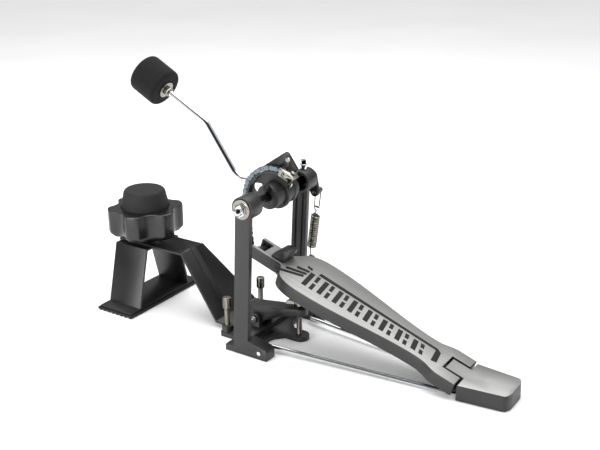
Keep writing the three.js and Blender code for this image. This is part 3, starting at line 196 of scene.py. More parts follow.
chrome = plated("polished chrome plate", "#cfd2d6", 0.07, 300.0)
chrome_tree = chrome.node_tree
# Painted reflection: the chrome's base colour is dark where it faces the camera and pale towards its
# rims.
edge = add(chrome_tree, "ShaderNodeLayerWeight", None, Blend=0.5).outputs["Facing"]
painted_reflection_ramp = ramp(chrome_tree, edge, hexed("#303235"), hexed("#eef0f2"), 0.1, 0.24)
chrome_tree.links.new(painted_reflection_ramp, chrome_tree.nodes["Principled BSDF"].inputs["Base Color"])
nickel = plated("bright nickel plate", "#8f8c85", 0.16, 500.0)
zinc = plated("blue zinc plate", "#6f787d", 0.24, 700.0)
black_oxide = plated("blackened steel", "#2e2f31", 0.3, 600.0)
for ring in ("left_bearing", "right_bearing"):
    keep(ring, black_oxide)
for steel in (
    "base_screw_left", "base_screw_right", "toe_pin", "heel_hinge_pin", "clip_pin", "clevis_pin"
):
    keep(steel, zinc)


def lathe(profile, centre, direction, steps=64):
    """Turns [radius, height] pairs, in mm, about a line through centre along direction."""
    bm = bmesh.new()
    turn = Vector((0, 0, 1)).rotation_difference(Vector(direction).normalized())
    rings = []
    for radius, height in profile:
        ring = []
        count = 1 if radius < 1e-6 else steps
        for i in range(count):
            angle = 2 * math.pi * i / steps
            local = Vector((radius * math.cos(angle), radius * math.sin(angle), height))
            ring.append(bm.verts.new((Vector(centre) + turn @ local) * MM))
        rings.append(ring)
    for low, high in zip(rings, rings[1:]):
        for i in range(steps):
            j = (i + 1) % steps
            corners = [low[i % len(low)], low[j % len(low)], high[j % len(high)], high[i % len(high)]]
            corners = list(dict.fromkeys(corners))
            if len(corners) > 2:
                bm.faces.new(corners)
    bmesh.ops.recalc_face_normals(bm, faces=bm.faces)
    return bm


def eased(profile, ease, steps=4):
    """The profile with each inner corner rounded to the given radius."""
    done = [profile[0]]
    for before, corner, after in zip(profile, profile[1:], profile[2:]):
        at = Vector(corner)
        back = Vector(before) - at
        on = Vector(after) - at
        reach = min(ease, back.length * 0.45, on.length * 0.45)
        start = at + back.normalized() * reach
        end = at + on.normalized() * reach
        for i in range(steps + 1):
            t = i / steps
            point = start * (1 - t) ** 2 + at * 2 * t * (1 - t) + end * t * t
            done.append((max(point.x, 0), point.y))
    done.append(profile[-1])
    return done


def join(whole, part):
    """Adds one closed shape to another and frees it."""
    spare = bpy.data.meshes.new("spare")
    part.to_mesh(spare)
    part.free()
    whole.from_mesh(spare)
    bpy.data.meshes.remove(spare)


ALONG_X = (1, 0, 0)
ALONG_Z = (0, 0, 1)
AXLE_Z = 189
AXLE_RADIUS = 5
AXLE_LEFT, AXLE_RIGHT = -77, 84
axle_middle = (0, 0, AXLE_Z)
axle_corners = [(0, AXLE_LEFT), (AXLE_RADIUS, AXLE_LEFT), (AXLE_RADIUS, AXLE_RIGHT), (0, AXLE_RIGHT)]
axle_bar = lathe(eased(axle_corners, 0.6), axle_middle, ALONG_X, 40)
link_up(object_of("axle_bar", axle_bar, black_oxide), "axle")
washer_profile = eased([(5.3, -73.4), (12, -73.4), (12, -71.8), (5.3, -71.8)], 0.4)
link_up(object_of("axle_washer", lathe(washer_profile, axle_middle, ALONG_X), nickel), "left_washer")
dome = [(0, -85), (2.4, -84.6), (4.4, -83.2), (5.7, -81), (6.1, -78.6), (6.1, -77.2), (0, -77.2)]
nut = lathe(dome, axle_middle, ALONG_X, 40)
hex_profile = [(0, -77.8), (6.4, -77.8), (8, -76.9), (8, -73.7), (0, -73.7)]
join(nut, lathe(hex_profile, axle_middle, ALONG_X, 6))
link_up(object_of("axle_domed_nut", nut, chrome), "domed_nut")
rounded("key_screw", chrome, 0.4)


# ---------------------------------------------------------------- hoop clamp and spurs
# Nickel-plated clamp screw with its wing, the jaw's pivot bolt, and two spurs with knurled
# heads. The knurl is a ring of straight ribs, about 1.2 mm apart.
for fastener in ("jaw_pivot_bolt", "jaw_pivot_nut", "clamp_wing"):
    rounded(fastener, nickel, 0.5)


def threaded(name, tint, pitch):
    """A rolled screw thread, drawn as bands of bump one pitch apart along Z, with painted shade darkening
    each groove.
    """
    made, tree, shader = new_material(name, Metallic=1.0, Base__Color=hexed(tint), Roughness=0.3)
    place = add(tree, "ShaderNodeTexCoord").outputs["Object"]
    bands = {"bands_direction": "Z", "wave_profile": "TRI"}
    scale = math.pi / 10 / pitch
    wave = add(tree, "ShaderNodeTexWave", bands, Vector=place, Scale=scale, Distortion=0.0).outputs[1]
    # Painted shade: the thread's valleys take the tint at 35 %, its crests the full tint.
    painted_groove_shade = tuple(c * 0.35 for c in hexed(tint)[:3]) + (1,)
    tree.links.new(ramp(tree, wave, painted_groove_shade, hexed(tint), 0.1, 0.6), shader.inputs["Base Color"])
    bump = add(tree, "ShaderNodeBump", None, Strength=0.9, Distance=0.0006, Height=wave)
    tree.links.new(bump.outputs[0], shader.inputs["Normal"])
    return made


THREAD_PITCH = 0.0014
thread_nickel = threaded("nickel plated thread", "#b9b4aa", THREAD_PITCH)
screw_profile = eased([(0, 6.3), (3.5, 6.3), (3.5, 52.3), (0, 52.3)], 0.6)
link_up(
    object_of("clamp_screw_shank", lathe(screw_profile, (4, -30, 0), ALONG_Z, 32), thread_nickel),
    "clamp_screw",
)


def tree_with(name, *sockets):
    tree = bpy.data.node_groups.new(name, "GeometryNodeTree")
    tree.interface.new_socket("Geometry", in_out="INPUT", socket_type="NodeSocketGeometry")
    for socket, kind, value in sockets:
        made = tree.interface.new_socket(socket, in_out="INPUT", socket_type="NodeSocket" + kind)
        if value is not None:
            made.default_value = value
    tree.interface.new_socket("Geometry", in_out="OUTPUT", socket_type="NodeSocketGeometry")
    return tree, tree.nodes.new("NodeGroupInput"), tree.nodes.new("NodeGroupOutput")


def close_tree(tree, output, geometry, material):
    real = add(tree, "GeometryNodeRealizeInstances", None, Geometry=geometry)
    painted = add(tree, "GeometryNodeSetMaterial", None, Geometry=real.outputs[0], Material=material)
    tree.links.new(painted.outputs[0], output.inputs[0])


def grow(piece, tree, **values):
    """Runs a tree on the piece with named inputs and leaves a plain mesh."""
    live = piece.modifiers.new("grown", "NODES")
    live.node_group = tree
    for item in tree.interface.items_tree:
        if item.item_type == "SOCKET" and item.in_out == "INPUT" and item.name in values:
            live[item.identifier] = values[item.name]
    settled(piece)
    return piece


# Knurled ribs: thin upright bars round a circle, sunk half-way into the head.
knurl, knurl_in, knurl_out = tree_with(
    "knurl",
    ("Ribs", "Int", 24),
    ("Radius", "Float", 0.005),
    ("Height", "Float", 0.014),
    ("Width", "Float", 0.0007),
)
knurl_ring = add(
    knurl,
    "GeometryNodeMeshCircle",
    None,
    Vertices=knurl_in.outputs["Ribs"],
    Radius=knurl_in.outputs["Radius"],
)
size = add(
    knurl,
    "ShaderNodeCombineXYZ",
    None,
    X=knurl_in.outputs["Width"],
    Y=knurl_in.outputs["Width"],
    Z=knurl_in.outputs["Height"],
)
bar = add(knurl, "GeometryNodeMeshCube", None, Size=size.outputs[0])
around = add(knurl, "GeometryNodeInputPosition")
outward = add(knurl, "FunctionNodeAlignRotationToVector", {"axis": "X"}, Vector=around.outputs[0])
ribs = add(
    knurl,
    "GeometryNodeInstanceOnPoints",
    None,
    Points=knurl_ring.outputs[0],
    Instance=bar.outputs[0],
    Rotation=outward.outputs[0],
)
knurled = add(knurl, "GeometryNodeJoinGeometry")
knurl.links.new(ribs.outputs[0], knurled.inputs[0])
knurl.links.new(knurl_in.outputs["Geometry"], knurled.inputs[0])
close_tree(knurl, knurl_out, knurled.outputs[0], nickel)


def moved(piece, offset):
    piece.data.transform(Matrix.Translation(Vector(offset) * MM))
    return piece


SPUR_X = 37
SPUR_Y = 52
SPUR_TOP = 52
SPUR_HEAD = 14.7
head_corners = [(0, -7.3), (5.1, -7.3), (5.1, 7.3), (0, 7.3)]
shank_profile = [(0, 1), (3.4, 4.6), (3.5, 38), (0, 38)]
for side, x in (("left", -SPUR_X), ("right", SPUR_X)):
    turned = object_of(
        f"spur_{side}_head", lathe(eased(head_corners, 0.7), (0, 0, 0), ALONG_Z, 40), nickel
    )
    spur_head = grow(turned, knurl, Ribs=28, Radius=5.15 * MM, Height=12.8 * MM, Width=0.65 * MM)
    shade(spur_head.data)
    moved(spur_head, (x, SPUR_Y, SPUR_TOP - SPUR_HEAD / 2))
    link_up(spur_head, f"spur_{side}")
    shank = lathe(shank_profile, (x, SPUR_Y, 0), ALONG_Z, 32)
    shank = object_of(f"spur_{side}_shank", shank, thread_nickel)
    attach(shank, f"{side}_spur")


# ---------------------------------------------------------------- radius rods and beater rod
# Drawn steel wire, chrome plated. The radius rods hold the heel plate at its distance; the
# 7.6 mm beater rod is bent twice.
def tube(points, radius, bend, sides=24):
    """A round bar through points, in mm, with each corner bent to the given radius."""
    path = [Vector(points[0])]
    for before, corner, after in zip(points, points[1:], points[2:]):
        at = Vector(corner)
        back = (Vector(before) - at).normalized()
        on = (Vector(after) - at).normalized()
        half = back.angle(on) / 2
        reach = bend / math.tan(half)
        centre = at + (back + on).normalized() * (bend / math.sin(half))
        start = at + back * reach - centre
        end = at + on * reach - centre
        swing = start.rotation_difference(end)
        for i in range(13):
            path.append(centre + Quaternion().slerp(swing, i / 12) @ start)
    path.append(Vector(points[-1]))
    bm = bmesh.new()
    rings = []
    heading = (path[1] - path[0]).normalized()
    side = heading.orthogonal().normalized()
    for i, at in enumerate(path):
        ahead = (path[min(i + 1, len(path) - 1)] - path[max(i - 1, 0)]).normalized()
        side = heading.rotation_difference(ahead) @ side
        heading = ahead
        up = heading.cross(side)
        turns = [2 * math.pi * k / sides for k in range(sides)]
        circle = [at + (side * math.cos(turn) + up * math.sin(turn)) * radius for turn in turns]
        rings.append([bm.verts.new(p * MM) for p in circle])
    for low, high in zip(rings, rings[1:]):
        for k in range(sides):
            bm.faces.new([low[k], low[(k + 1) % sides], high[(k + 1) % sides], high[k]])
    bm.faces.new(rings[0][::-1])
    bm.faces.new(rings[-1])
    bmesh.ops.recalc_face_normals(bm, faces=bm.faces)
    return bm


ROD_RADIUS, ROD_BEND = 2.5, 5
for side, sign in (("left", -1), ("right", 1)):
    route = [
        (sign * 71, -19.6, 8.3), (sign * 46, -19.6, 8.3), (sign * 22, -240, 3.6), (sign * 18, -276, 3.6)
    ]
    link_up(
        object_of(f"radius_rod_{side}_wire", tube(route, ROD_RADIUS, ROD_BEND), chrome),
        f"radius_rod_{side}",
    )

BEATER_X = 8
SHAFT_RADIUS, SHAFT_BEND = 3.8, 22
shaft_corners = [(-15, 200.6), (63.9, 194.4), (110.9, 259.5), (173.6, 293.3)]
shaft_route = [Vector((BEATER_X, y, z)) for y, z in shaft_corners]
link_up(object_of("beater_shaft", tube(shaft_route, SHAFT_RADIUS, SHAFT_BEND, 32), chrome), "beater_rod")


# ---------------------------------------------------------------- beater head
# A hard felt cylinder, black, slid on the end of the rod and held by a washer and a nut.
# Its rim is rounded over and the felt shows short fibres.
def felt_material():
    made, tree, shader = new_material(
        "pressed wool felt", Roughness=0.95, IOR=1.45, Sheen__Weight=0.1, Sheen__Roughness=0.5
    )
    shader.inputs["Sheen Tint"].default_value = hexed("#8a8a8a")
    place = add(tree, "ShaderNodeTexCoord").outputs["Object"]
    fibre = add(
        tree, "ShaderNodeTexNoise", None, Vector=place, Scale=1500.0, Detail=6.0, Roughness=0.7
    ).outputs[0]
    clump = add(tree, "ShaderNodeTexNoise", None, Vector=place, Scale=180.0, Detail=3.0).outputs[0]
    tree.links.new(ramp(tree, clump, hexed("#050505"), hexed("#0c0c0c")), shader.inputs["Base Color"])
    mixed = add(
        tree, "ShaderNodeMath", {"operation": "MULTIPLY_ADD"}, _0=clump, _1=0.5, _2=fibre
    ).outputs[0]
    bump = add(tree, "ShaderNodeBump", None, Strength=0.8, Distance=0.0004, Height=mixed)
    tree.links.new(bump.outputs[0], shader.inputs["Normal"])
    return made


felt = felt_material()
HEAD_RADIUS, HEAD_LENGTH, HEAD_ROUND = 25, 40, 5
head_back = shaft_route[-1]
head_line = (shaft_route[-1] - shaft_route[-2]).normalized()
head_outline = [(0, 0), (HEAD_RADIUS, 0), (HEAD_RADIUS, HEAD_LENGTH), (0, HEAD_LENGTH)]
head_profile = eased(head_outline, HEAD_ROUND, 8)
head = link_up(
    object_of("beater_felt", lathe(head_profile, head_back, head_line, 96), felt), "beater_head"
)
washer = lathe(eased([(4.1, -1.9), (11, -1.9), (11, -0.3), (4.1, -0.3)], 0.4), head_back, head_line, 64)
link_up(object_of("beater_washer_disc", washer, nickel), "beater_washer")
rounded("beater_nut", nickel, 0.5)


# ---------------------------------------------------------------- footboard
# A long cast plate on the heel hinge. Its top is ground and brushed lengthwise, its skirt is
# painted dark, and its grip pattern is printed black.
BOARD_RISE = 0.3475
SLOPE = math.atan(BOARD_RISE)
hinge_middle = Vector((0, -247, 13.5))
board_place = Matrix.Translation(hinge_middle * MM) @ Matrix.Rotation(SLOPE, 4, "X")


def brushed(name, dark, light):
    """Aluminium brushed lengthwise: streaks about 0.4 mm wide and several cm long."""
    made, tree, shader = new_material(name, Metallic=0.55, Anisotropic=0.4, Roughness=0.4)
    place = add(tree, "ShaderNodeTexCoord").outputs["Object"]
    stretched = add(tree, "ShaderNodeMapping", None, Vector=place, Scale=(1.0, 0.012, 0.012)).outputs[0]
    streak = add(
        tree, "ShaderNodeTexNoise", None, Vector=stretched, Scale=2300.0, Detail=5.0, Roughness=0.65
    ).outputs[0]
    broad = add(tree, "ShaderNodeTexNoise", None, Vector=stretched, Scale=160.0, Detail=2.0).outputs[0]
    blend = add(
        tree, "ShaderNodeMath", {"operation": "MULTIPLY_ADD"}, _0=broad, _1=0.15, _2=streak
    ).outputs[0]
    tree.links.new(ramp(tree, blend, hexed(dark), hexed(light), 0.3, 1.0), shader.inputs["Base Color"])
    tree.links.new(span(tree, streak, 0.36, 0.5), shader.inputs["Roughness"])
    bump = add(tree, "ShaderNodeBump", None, Strength=0.12, Distance=0.0002, Height=streak)
    tree.links.new(bump.outputs[0], shader.inputs["Normal"])
    return made


brushed_silver = brushed("brushed aluminium", "#858583", "#adadab")
skirt_paint = powder_coat("dark painted skirt", "#191919", "#232322", 0.4)
pattern_ink = powder_coat("printed black grip", "#050505", "#0a0a0a", 0.75)


def bezier(a, b, c, d, count=14):
    points = []
    for i in range(1, count + 1):
        t = i / count
        weights = ((1 - t) ** 3, 3 * t * (1 - t) ** 2, 3 * t * t * (1 - t), t**3)
        points.append(tuple(sum(w * p[k] for w, p in zip(weights, (a, b, c, d))) for k in (0, 1)))
    return points


right_edge = [(32.5, -6.5), (32.5, 16)]
right_edge += bezier((32.5, 16), (32.5, 28), (25.5, 32), (25.5, 46))
right_edge += bezier((25.5, 46), (25.5, 95), (44, 150), (44, 206), 24)
right_edge += bezier((44, 206), (44, 222), (40, 235), (32, 240))
right_edge += bezier((32, 240), (24, 245), (16, 247), (16, 252))
right_edge += [(16, 295.5)]
board_outline = right_edge + [(-x, y) for x, y in reversed(right_edge)]


def inset(outline, distance):
    """The closed outline moved inwards along its corner normals."""
    done = []
    for i, here in enumerate(outline):
        before = Vector(outline[i - 1])
        after = Vector(outline[(i + 1) % len(outline)])
        at = Vector(here)
        a = (at - before).normalized()
        b = (after - at).normalized()
        na, nb = Vector((-a.y, a.x)), Vector((-b.y, b.x))
        lean = (na + nb).normalized()
        done.append(tuple(at + lean * (distance / max(0.4, lean.dot(na)))))
    return done


def lofted(levels):
    """Joins level outlines of equal count, closed at both ends."""
    bm = bmesh.new()
    rings = [[bm.verts.new(Vector((x, y, z)) * MM) for x, y in outline] for outline, z in levels]
    for low, high in zip(rings, rings[1:]):
        for i in range(len(low)):
            j = (i + 1) % len(low)
            bm.faces.new([low[i], low[j], high[j], high[i]])
    bm.faces.new(rings[0][::-1])
    bm.faces.new(rings[-1])
    return bm


def block(low, high):
    bm = bmesh.new()
    bmesh.ops.create_cube(bm, size=1)
    size = Vector(high) - Vector(low)
    middle = (Vector(high) + Vector(low)) / 2
    place = Matrix.Translation(middle * MM) @ Matrix.Diagonal(size * MM).to_4x4()
    bmesh.ops.transform(bm, matrix=place, verts=bm.verts)
    return bm


def carved(piece, *tools):
    """The piece with each tool's space cut away."""
    for bm in tools:
        tool = object_of("tool", bm)
        cutter = piece.modifiers.new("cut", "BOOLEAN")
        cutter.operation = "DIFFERENCE"
        cutter.object = tool
        cutter.solver = "EXACT"
        settled(piece)
        bpy.data.objects.remove(tool)
    return piece


BOARD_TOP, BOARD_LOW = 9.9, -5.1
BOARD_WALL = 3.2
RIB_TOP = 6.5
cavity = inset(board_outline, BOARD_WALL)
levels = [
    (cavity, 6.3), (cavity, BOARD_LOW), (board_outline, BOARD_LOW), (board_outline, BOARD_TOP - 1.2)
]
levels += [(inset(board_outline, 0.35), BOARD_TOP - 0.35), (inset(board_outline, 1.2), BOARD_TOP)]
board = object_of("footboard_casting", lofted(levels), skirt_paint, brushed_silver)
heel_slot = block((-14.5, -8, -9), (14.5, 14.3, 12))
slot_step = block((-14.5, 14, -0.5), (14.5, 18, 12))
toe_fork = block((-10.5, 277, -9), (10.5, 298, 12))
carved(board, heel_slot, slot_step, toe_fork)
rib_low = BOARD_LOW + 0.2
walls = [((-w, y - 1.5), (w, y + 1.5)) for y, w in ((96, 26), (134, 33), (172, 39), (210, 40))]
walls += [((-17.5, 18), (17.5, 21)), ((-17.5, -5), (-14.5, 20)), ((14.5, -5), (17.5, 20))]
whole = bmesh.new()
whole.from_mesh(board.data)
for low, high in walls:
    join(whole, block((*low, rib_low), (*high, RIB_TOP)))
whole.to_mesh(board.data)
whole.free()
for face in board.data.polygons:
    face.material_index = 1 if face.normal.z > 0.95 and face.center.z > 9 * MM else 0
shade(board.data, 30)
board.data.transform(board_place)
link_up(board, "footboard")

# The printed grip: groups of one full and two half bars beside a long rule, a cross bar at the
# heel end and four rays near the toe.
printed = bmesh.new()


def print_bar(corners):
    low = [printed.verts.new(Vector((x, y, BOARD_TOP - 0.1)) * MM) for x, y in corners]
    high = [printed.verts.new(Vector((x, y, BOARD_TOP + 0.08)) * MM) for x, y in corners]
    printed.faces.new(high)
    printed.faces.new(low[::-1])
    for i in range(len(low)):
        j = (i + 1) % len(low)
        printed.faces.new([low[i], low[j], high[j], high[i]])


BAR_GROUPS, BAR_PITCH, BAR_START = 8, 21.5, 48
RAYS = 4
for i in range(BAR_GROUPS):
    y = BAR_START + i * BAR_PITCH
    near, far = 3 + i * 0.3, -17 - i * 1.3
    middle = (near + far) / 2
    print_bar([(near, y + 10.5), (near, y + 17), (far, y + 12), (far, y + 5.5)])
    print_bar([(near, y + 2), (near, y + 7), (middle + 2, y + 4.4), (middle + 2, y - 0.6)])
    print_bar([(middle - 2, y - 1.6), (middle - 2, y + 3.4), (far, y + 1), (far, y - 4)])
print_bar([(6.5, 30), (11, 36), (14, 206), (7.5, 206)])
print_bar([(-14, 26), (6.5, 30), (6.5, 37), (-16, 33)])
for i in range(RAYS):
    foot = -i * 7
    tip = -i * 13
    reach = 212 + i * 8
    print_bar([(8 + foot, 216), (13 + foot, 218), (14 + tip, reach + 14), (9 + tip, reach + 12)])
bmesh.ops.recalc_face_normals(printed, faces=printed.faces)
grip = object_of("footboard_grip_print", printed, pattern_ink)
grip.data.transform(board_place)
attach(grip, "board")

satin_black = powder_coat("satin black powder coat", "#0f0f10", "#171718", 0.36)
rounded("toe_stop", satin_black, 0.8)
rounded("toe_clevis", satin_black, 0.5)


# ---------------------------------------------------------------- heel plate
# A cast heel on the floor with the hinge tongue, brushed on top, painted below, on a sole.
HEEL_FRONT, HEEL_BACK = -257.5, -317
TONGUE_FRONT, TONGUE_HALF = -235, 12.5
heel_edge = [(TONGUE_HALF, TONGUE_FRONT), (TONGUE_HALF, HEEL_FRONT), (30, HEEL_FRONT)]
heel_edge += [(24.7, -307)] + bezier((24.7, -307), (24.4, -312), (23, -314), (19, -315.5), 8)
heel_edge += bezier((19, -315.5), (12, -317.4), (6, -318.2), (0, -318.4), 8)
heel_outline = heel_edge + [(-x, y) for x, y in reversed(heel_edge[:-1])]
heel_outline = [(x, max(y, HEEL_BACK)) for x, y in heel_outline][::-1]
heel_levels = [(inset(heel_outline, 0.5), 0.8), (heel_outline, 1.4), (inset(heel_outline, 0.6), 18.6)]
heel_levels += [(inset(heel_outline, 0.9), 19.6), (inset(heel_outline, 1.6), 20)]
heel = object_of("heel_casting", lofted(heel_levels), skirt_paint, brushed_silver)
carved(heel, block((-40, -256.5, -2), (40, -230, 9)))
for vertex in heel.data.vertices:
    ahead = vertex.co.y / MM - HEEL_FRONT
    if ahead > 0.2 and vertex.co.z > 17 * MM:
        vertex.co.z += min(ahead, TONGUE_FRONT - HEEL_FRONT) * BOARD_RISE * MM
for face in heel.data.polygons:
    face.material_index = 1 if face.normal.z > 0.85 and face.center.z > 17 * MM else 0
shade(heel.data, 30)
link_up(heel, "heel_plate")


def rubber_material(name, dark, light):
    """Moulded rubber: dull, with a fine grain from the mould."""
    made, tree, shader = new_material(name, Roughness=0.75, IOR=1.52)
    place = add(tree, "ShaderNodeTexCoord").outputs["Object"]
    grain = add(tree, "ShaderNodeTexNoise", None, Vector=place, Scale=2200.0, Detail=3.0).outputs[0]
    dust = add(tree, "ShaderNodeTexNoise", None, Vector=place, Scale=40.0, Detail=5.0).outputs[0]
    tree.links.new(ramp(tree, dust, hexed(dark), hexed(light)), shader.inputs["Base Color"])
    tree.links.new(span(tree, dust, 0.66, 0.85), shader.inputs["Roughness"])
    bump = add(tree, "ShaderNodeBump", None, Strength=0.35, Distance=0.0002, Height=grain)
    tree.links.new(bump.outputs[0], shader.inputs["Normal"])
    return made


rubber = rubber_material("moulded rubber", "#0c0c0c", "#131313")
rounded("heel_rubber", rubber, 0.5)


# ---------------------------------------------------------------- cam, hub and clip
# The chain cam is cast with the rim and web; a black stop plate is riveted behind it. The
# turned hub clamps the axle and the beater rod.
rounded("cam_wheel", cast_paint, 0.4, 40)
rounded("stop_plate", satin_black, 0.5)
rounded("hub", cast_paint, 0.8, 40)
rounded("rod_clamp_bolt", black_oxide, 0.5, 40)
for bright in ("stop_rivet", "chain_clip", "clip_screw"):
    rounded(bright, nickel, 0.3, 40)


# ---------------------------------------------------------------- chain
# Roller chain of 6.35 mm pitch, zinc plated: pairs of waisted plates on riveted pins, with
# inner links and rollers between them. Each body of the chain gets its own run of links.
CHAIN_X = -5
PITCH = 6.35
CAM_Y, CAM_Z, CAM_R = -1, 178.5, 43.3
leave = math.atan2(-0.1033, 0.99465)
step = 2 * math.asin(PITCH / 2 / CAM_R)


def arc_pin(k):
    angle = leave + k * step
    return Vector((CHAIN_X, CAM_Y + CAM_R * math.cos(angle), CAM_Z + CAM_R * math.sin(angle)))


def run_pin(k):
    return arc_pin(0) + Vector((0, math.sin(leave), -math.cos(leave))) * (k * PITCH)


def waisted_plate(x0, x1, into):
    """A figure-of-eight plate along Y between two pins, from x0 to x1."""
    outline = []
    for end in (1, -1):
        for i in range(9):
            angle = (0 if end == 1 else math.pi) + math.radians(-115 + 230 * i / 8)
            outline.append((end * PITCH / 2 + 3.0 * math.cos(angle), 3.0 * math.sin(angle)))
        outline.append((0, 2.1 * end))
    low = [into.verts.new(Vector((x0, y, z)) * MM) for y, z in outline]
    high = [into.verts.new(Vector((x1, y, z)) * MM) for y, z in outline]
    into.faces.new(low)
    into.faces.new(high[::-1])
    for i in range(len(low)):
        j = (i + 1) % len(low)
        into.faces.new([low[j], low[i], high[i], high[j]])


def pin_along_x(y, radius, x0, x1, into, sides=12):
    rings = []
    for x in (x0, x1):
        turns = [2 * math.pi * i / sides for i in range(sides)]
        circle = [(y + radius * math.cos(turn), radius * math.sin(turn)) for turn in turns]
        rings.append([into.verts.new(Vector((x, a, b)) * MM) for a, b in circle])
    for i in range(sides):
        j = (i + 1) % sides
        into.faces.new([rings[0][i], rings[0][j], rings[1][j], rings[1][i]])
    into.faces.new(rings[0][::-1])
    into.faces.new(rings[1])


outer = bmesh.new()
waisted_plate(-3.6, -2.6, outer)
waisted_plate(2.6, 3.6, outer)
for end in (-1, 1):
    pin_along_x(end * PITCH / 2, 1.2, -3.95, 3.95, outer)
bmesh.ops.recalc_face_normals(outer, faces=outer.faces)
inner = bmesh.new()
waisted_plate(-2.35, -1.5, inner)
waisted_plate(1.5, 2.35, inner)
for end in (-1, 1):
    pin_along_x(end * PITCH / 2, 2.0, -1.6, 1.6, inner)
bmesh.ops.recalc_face_normals(inner, faces=inner.faces)
outer_link = object_of("outer_link_pattern", outer)
inner_link = object_of("inner_link_pattern", inner)

chain_tree, chain_in, chain_out = tree_with(
    "chain links",
    ("First outer", "Int", 0),
    ("Outer link", "Object", None),
    ("Inner link", "Object", None),
)
ends = add(chain_tree, "GeometryNodeInputMeshEdgeVertices")
along = add(
    chain_tree, "ShaderNodeVectorMath", {"operation": "SUBTRACT"}, _0=ends.outputs[3], _1=ends.outputs[2]
)
number = add(chain_tree, "GeometryNodeInputIndex")
vector_on_edge = {"data_type": "FLOAT_VECTOR", "domain": "EDGE"}
kept = add(
    chain_tree,
    "GeometryNodeStoreNamedAttribute",
    vector_on_edge,
    Geometry=chain_in.outputs["Geometry"],
    Name="along",
    _3=along.outputs[0],
)
middles = add(chain_tree, "GeometryNodeMeshToPoints", {"mode": "EDGES"}, _0=kept.outputs[0])
line = add(chain_tree, "GeometryNodeInputNamedAttribute", {"data_type": "FLOAT_VECTOR"}, Name="along")
heading = add(
    chain_tree,
    "FunctionNodeAxesToRotation",
    {"primary_axis": "X", "secondary_axis": "Y"},
    _0=(1, 0, 0),
    _1=line.outputs[0],
)
shifted = add(
    chain_tree,
    "ShaderNodeMath",
    {"operation": "ADD"},
    _0=number.outputs[0],
    _1=chain_in.outputs["First outer"],
)
odd = add(chain_tree, "ShaderNodeMath", {"operation": "MODULO"}, _0=shifted.outputs[0], _1=2.0)
is_even = add(chain_tree, "FunctionNodeCompare", {"operation": "LESS_THAN"}, _0=odd.outputs[0], _1=0.5)
is_odd = add(chain_tree, "FunctionNodeBooleanMath", {"operation": "NOT"}, _0=is_even.outputs[0])
outer_shape = add(chain_tree, "GeometryNodeObjectInfo", None, Object=chain_in.outputs["Outer link"])
inner_shape = add(chain_tree, "GeometryNodeObjectInfo", None, Object=chain_in.outputs["Inner link"])
outers = add(
    chain_tree,
    "GeometryNodeInstanceOnPoints",
    None,
    Points=middles.outputs[0],
    Selection=is_even.outputs[0],
    Instance=outer_shape.outputs["Geometry"],
    Rotation=heading.outputs[0],
)
inners = add(
    chain_tree,
    "GeometryNodeInstanceOnPoints",
    None,
    Points=middles.outputs[0],
    Selection=is_odd.outputs[0],
    Instance=inner_shape.outputs["Geometry"],
    Rotation=heading.outputs[0],
)
linked = add(chain_tree, "GeometryNodeJoinGeometry")
chain_tree.links.new(outers.outputs[0], linked.inputs[0])
chain_tree.links.new(inners.outputs[0], linked.inputs[0])
close_tree(chain_tree, chain_out, linked.outputs[0], zinc)


def chain_piece(name, pins, first, node):
    mesh = bpy.data.meshes.new(name)
    mesh.from_pydata([p * MM for p in pins], [(i, i + 1) for i in range(len(pins) - 1)], [])
    piece = bpy.data.objects.new(name, mesh)
    bpy.context.scene.collection.objects.link(piece)
    grow(piece, chain_tree, **{"First outer": first, "Outer link": outer_link, "Inner link": inner_link})
    shade(piece.data)
    return link_up(piece, node)


chain_piece("chain_wrapped", [arc_pin(k) for k in range(4, 15)], 1, "chain_on_cam")
for index, k in ((1, 3), (2, 2), (3, 1), (4, 0)):
    pins = [arc_pin(k), arc_pin(k + 1)]
    chain_piece(f"chain_turning_link_{index}", pins, (index + 1) % 2, f"chain_link_{index}")
chain_piece("chain_straight", [run_pin(k) for k in range(12)], 0, "chain_run")
bpy.data.objects.remove(outer_link)
bpy.data.objects.remove(inner_link)


# ---------------------------------------------------------------- crank and return spring
# A black crank on the axle's end pulls a close-wound nickel spring against an eye bolt that
# hangs in the right post's lug. A bent wire link joins spring and crank pin.
rounded("spring_crank", satin_black, 0.6)
rounded("crank_pin", nickel, 0.3, 40)
rounded("tension_nut", nickel, 0.5)
SPRING_X = 84.5
low_eye = Vector((SPRING_X, 4.5, 72))
high_eye = Vector((SPRING_X, -7.5, 169.6))
up_spring = (high_eye - low_eye).normalized()


def on_spring(distance, x=0.0, across=0.0):
    sideways = up_spring.cross(Vector((1, 0, 0)))
    return low_eye + up_spring * distance + Vector((x, 0, 0)) + sideways * across


coil, coil_in, coil_out = tree_with(
    "coil",
    ("Turns", "Float", 26.0),
    ("Radius", "Float", 0.0048),
    ("Height", "Float", 0.044),
    ("Wire", "Float", 0.0008),
)
helix = add(
    coil,
    "GeometryNodeCurveSpiral",
    None,
    Resolution=22,
    Rotations=coil_in.outputs["Turns"],
    Height=coil_in.outputs["Height"],
)
coil.links.new(coil_in.outputs["Radius"], helix.inputs["Start Radius"])
coil.links.new(coil_in.outputs["Radius"], helix.inputs["End Radius"])
section = add(
    coil, "GeometryNodeCurvePrimitiveCircle", None, Resolution=8, Radius=coil_in.outputs["Wire"]
)
wound = add(coil, "GeometryNodeCurveToMesh", None, Curve=helix.outputs[0])
coil.links.new(section.outputs[0], wound.inputs["Profile Curve"])
close_tree(coil, coil_out, wound.outputs[0], nickel)

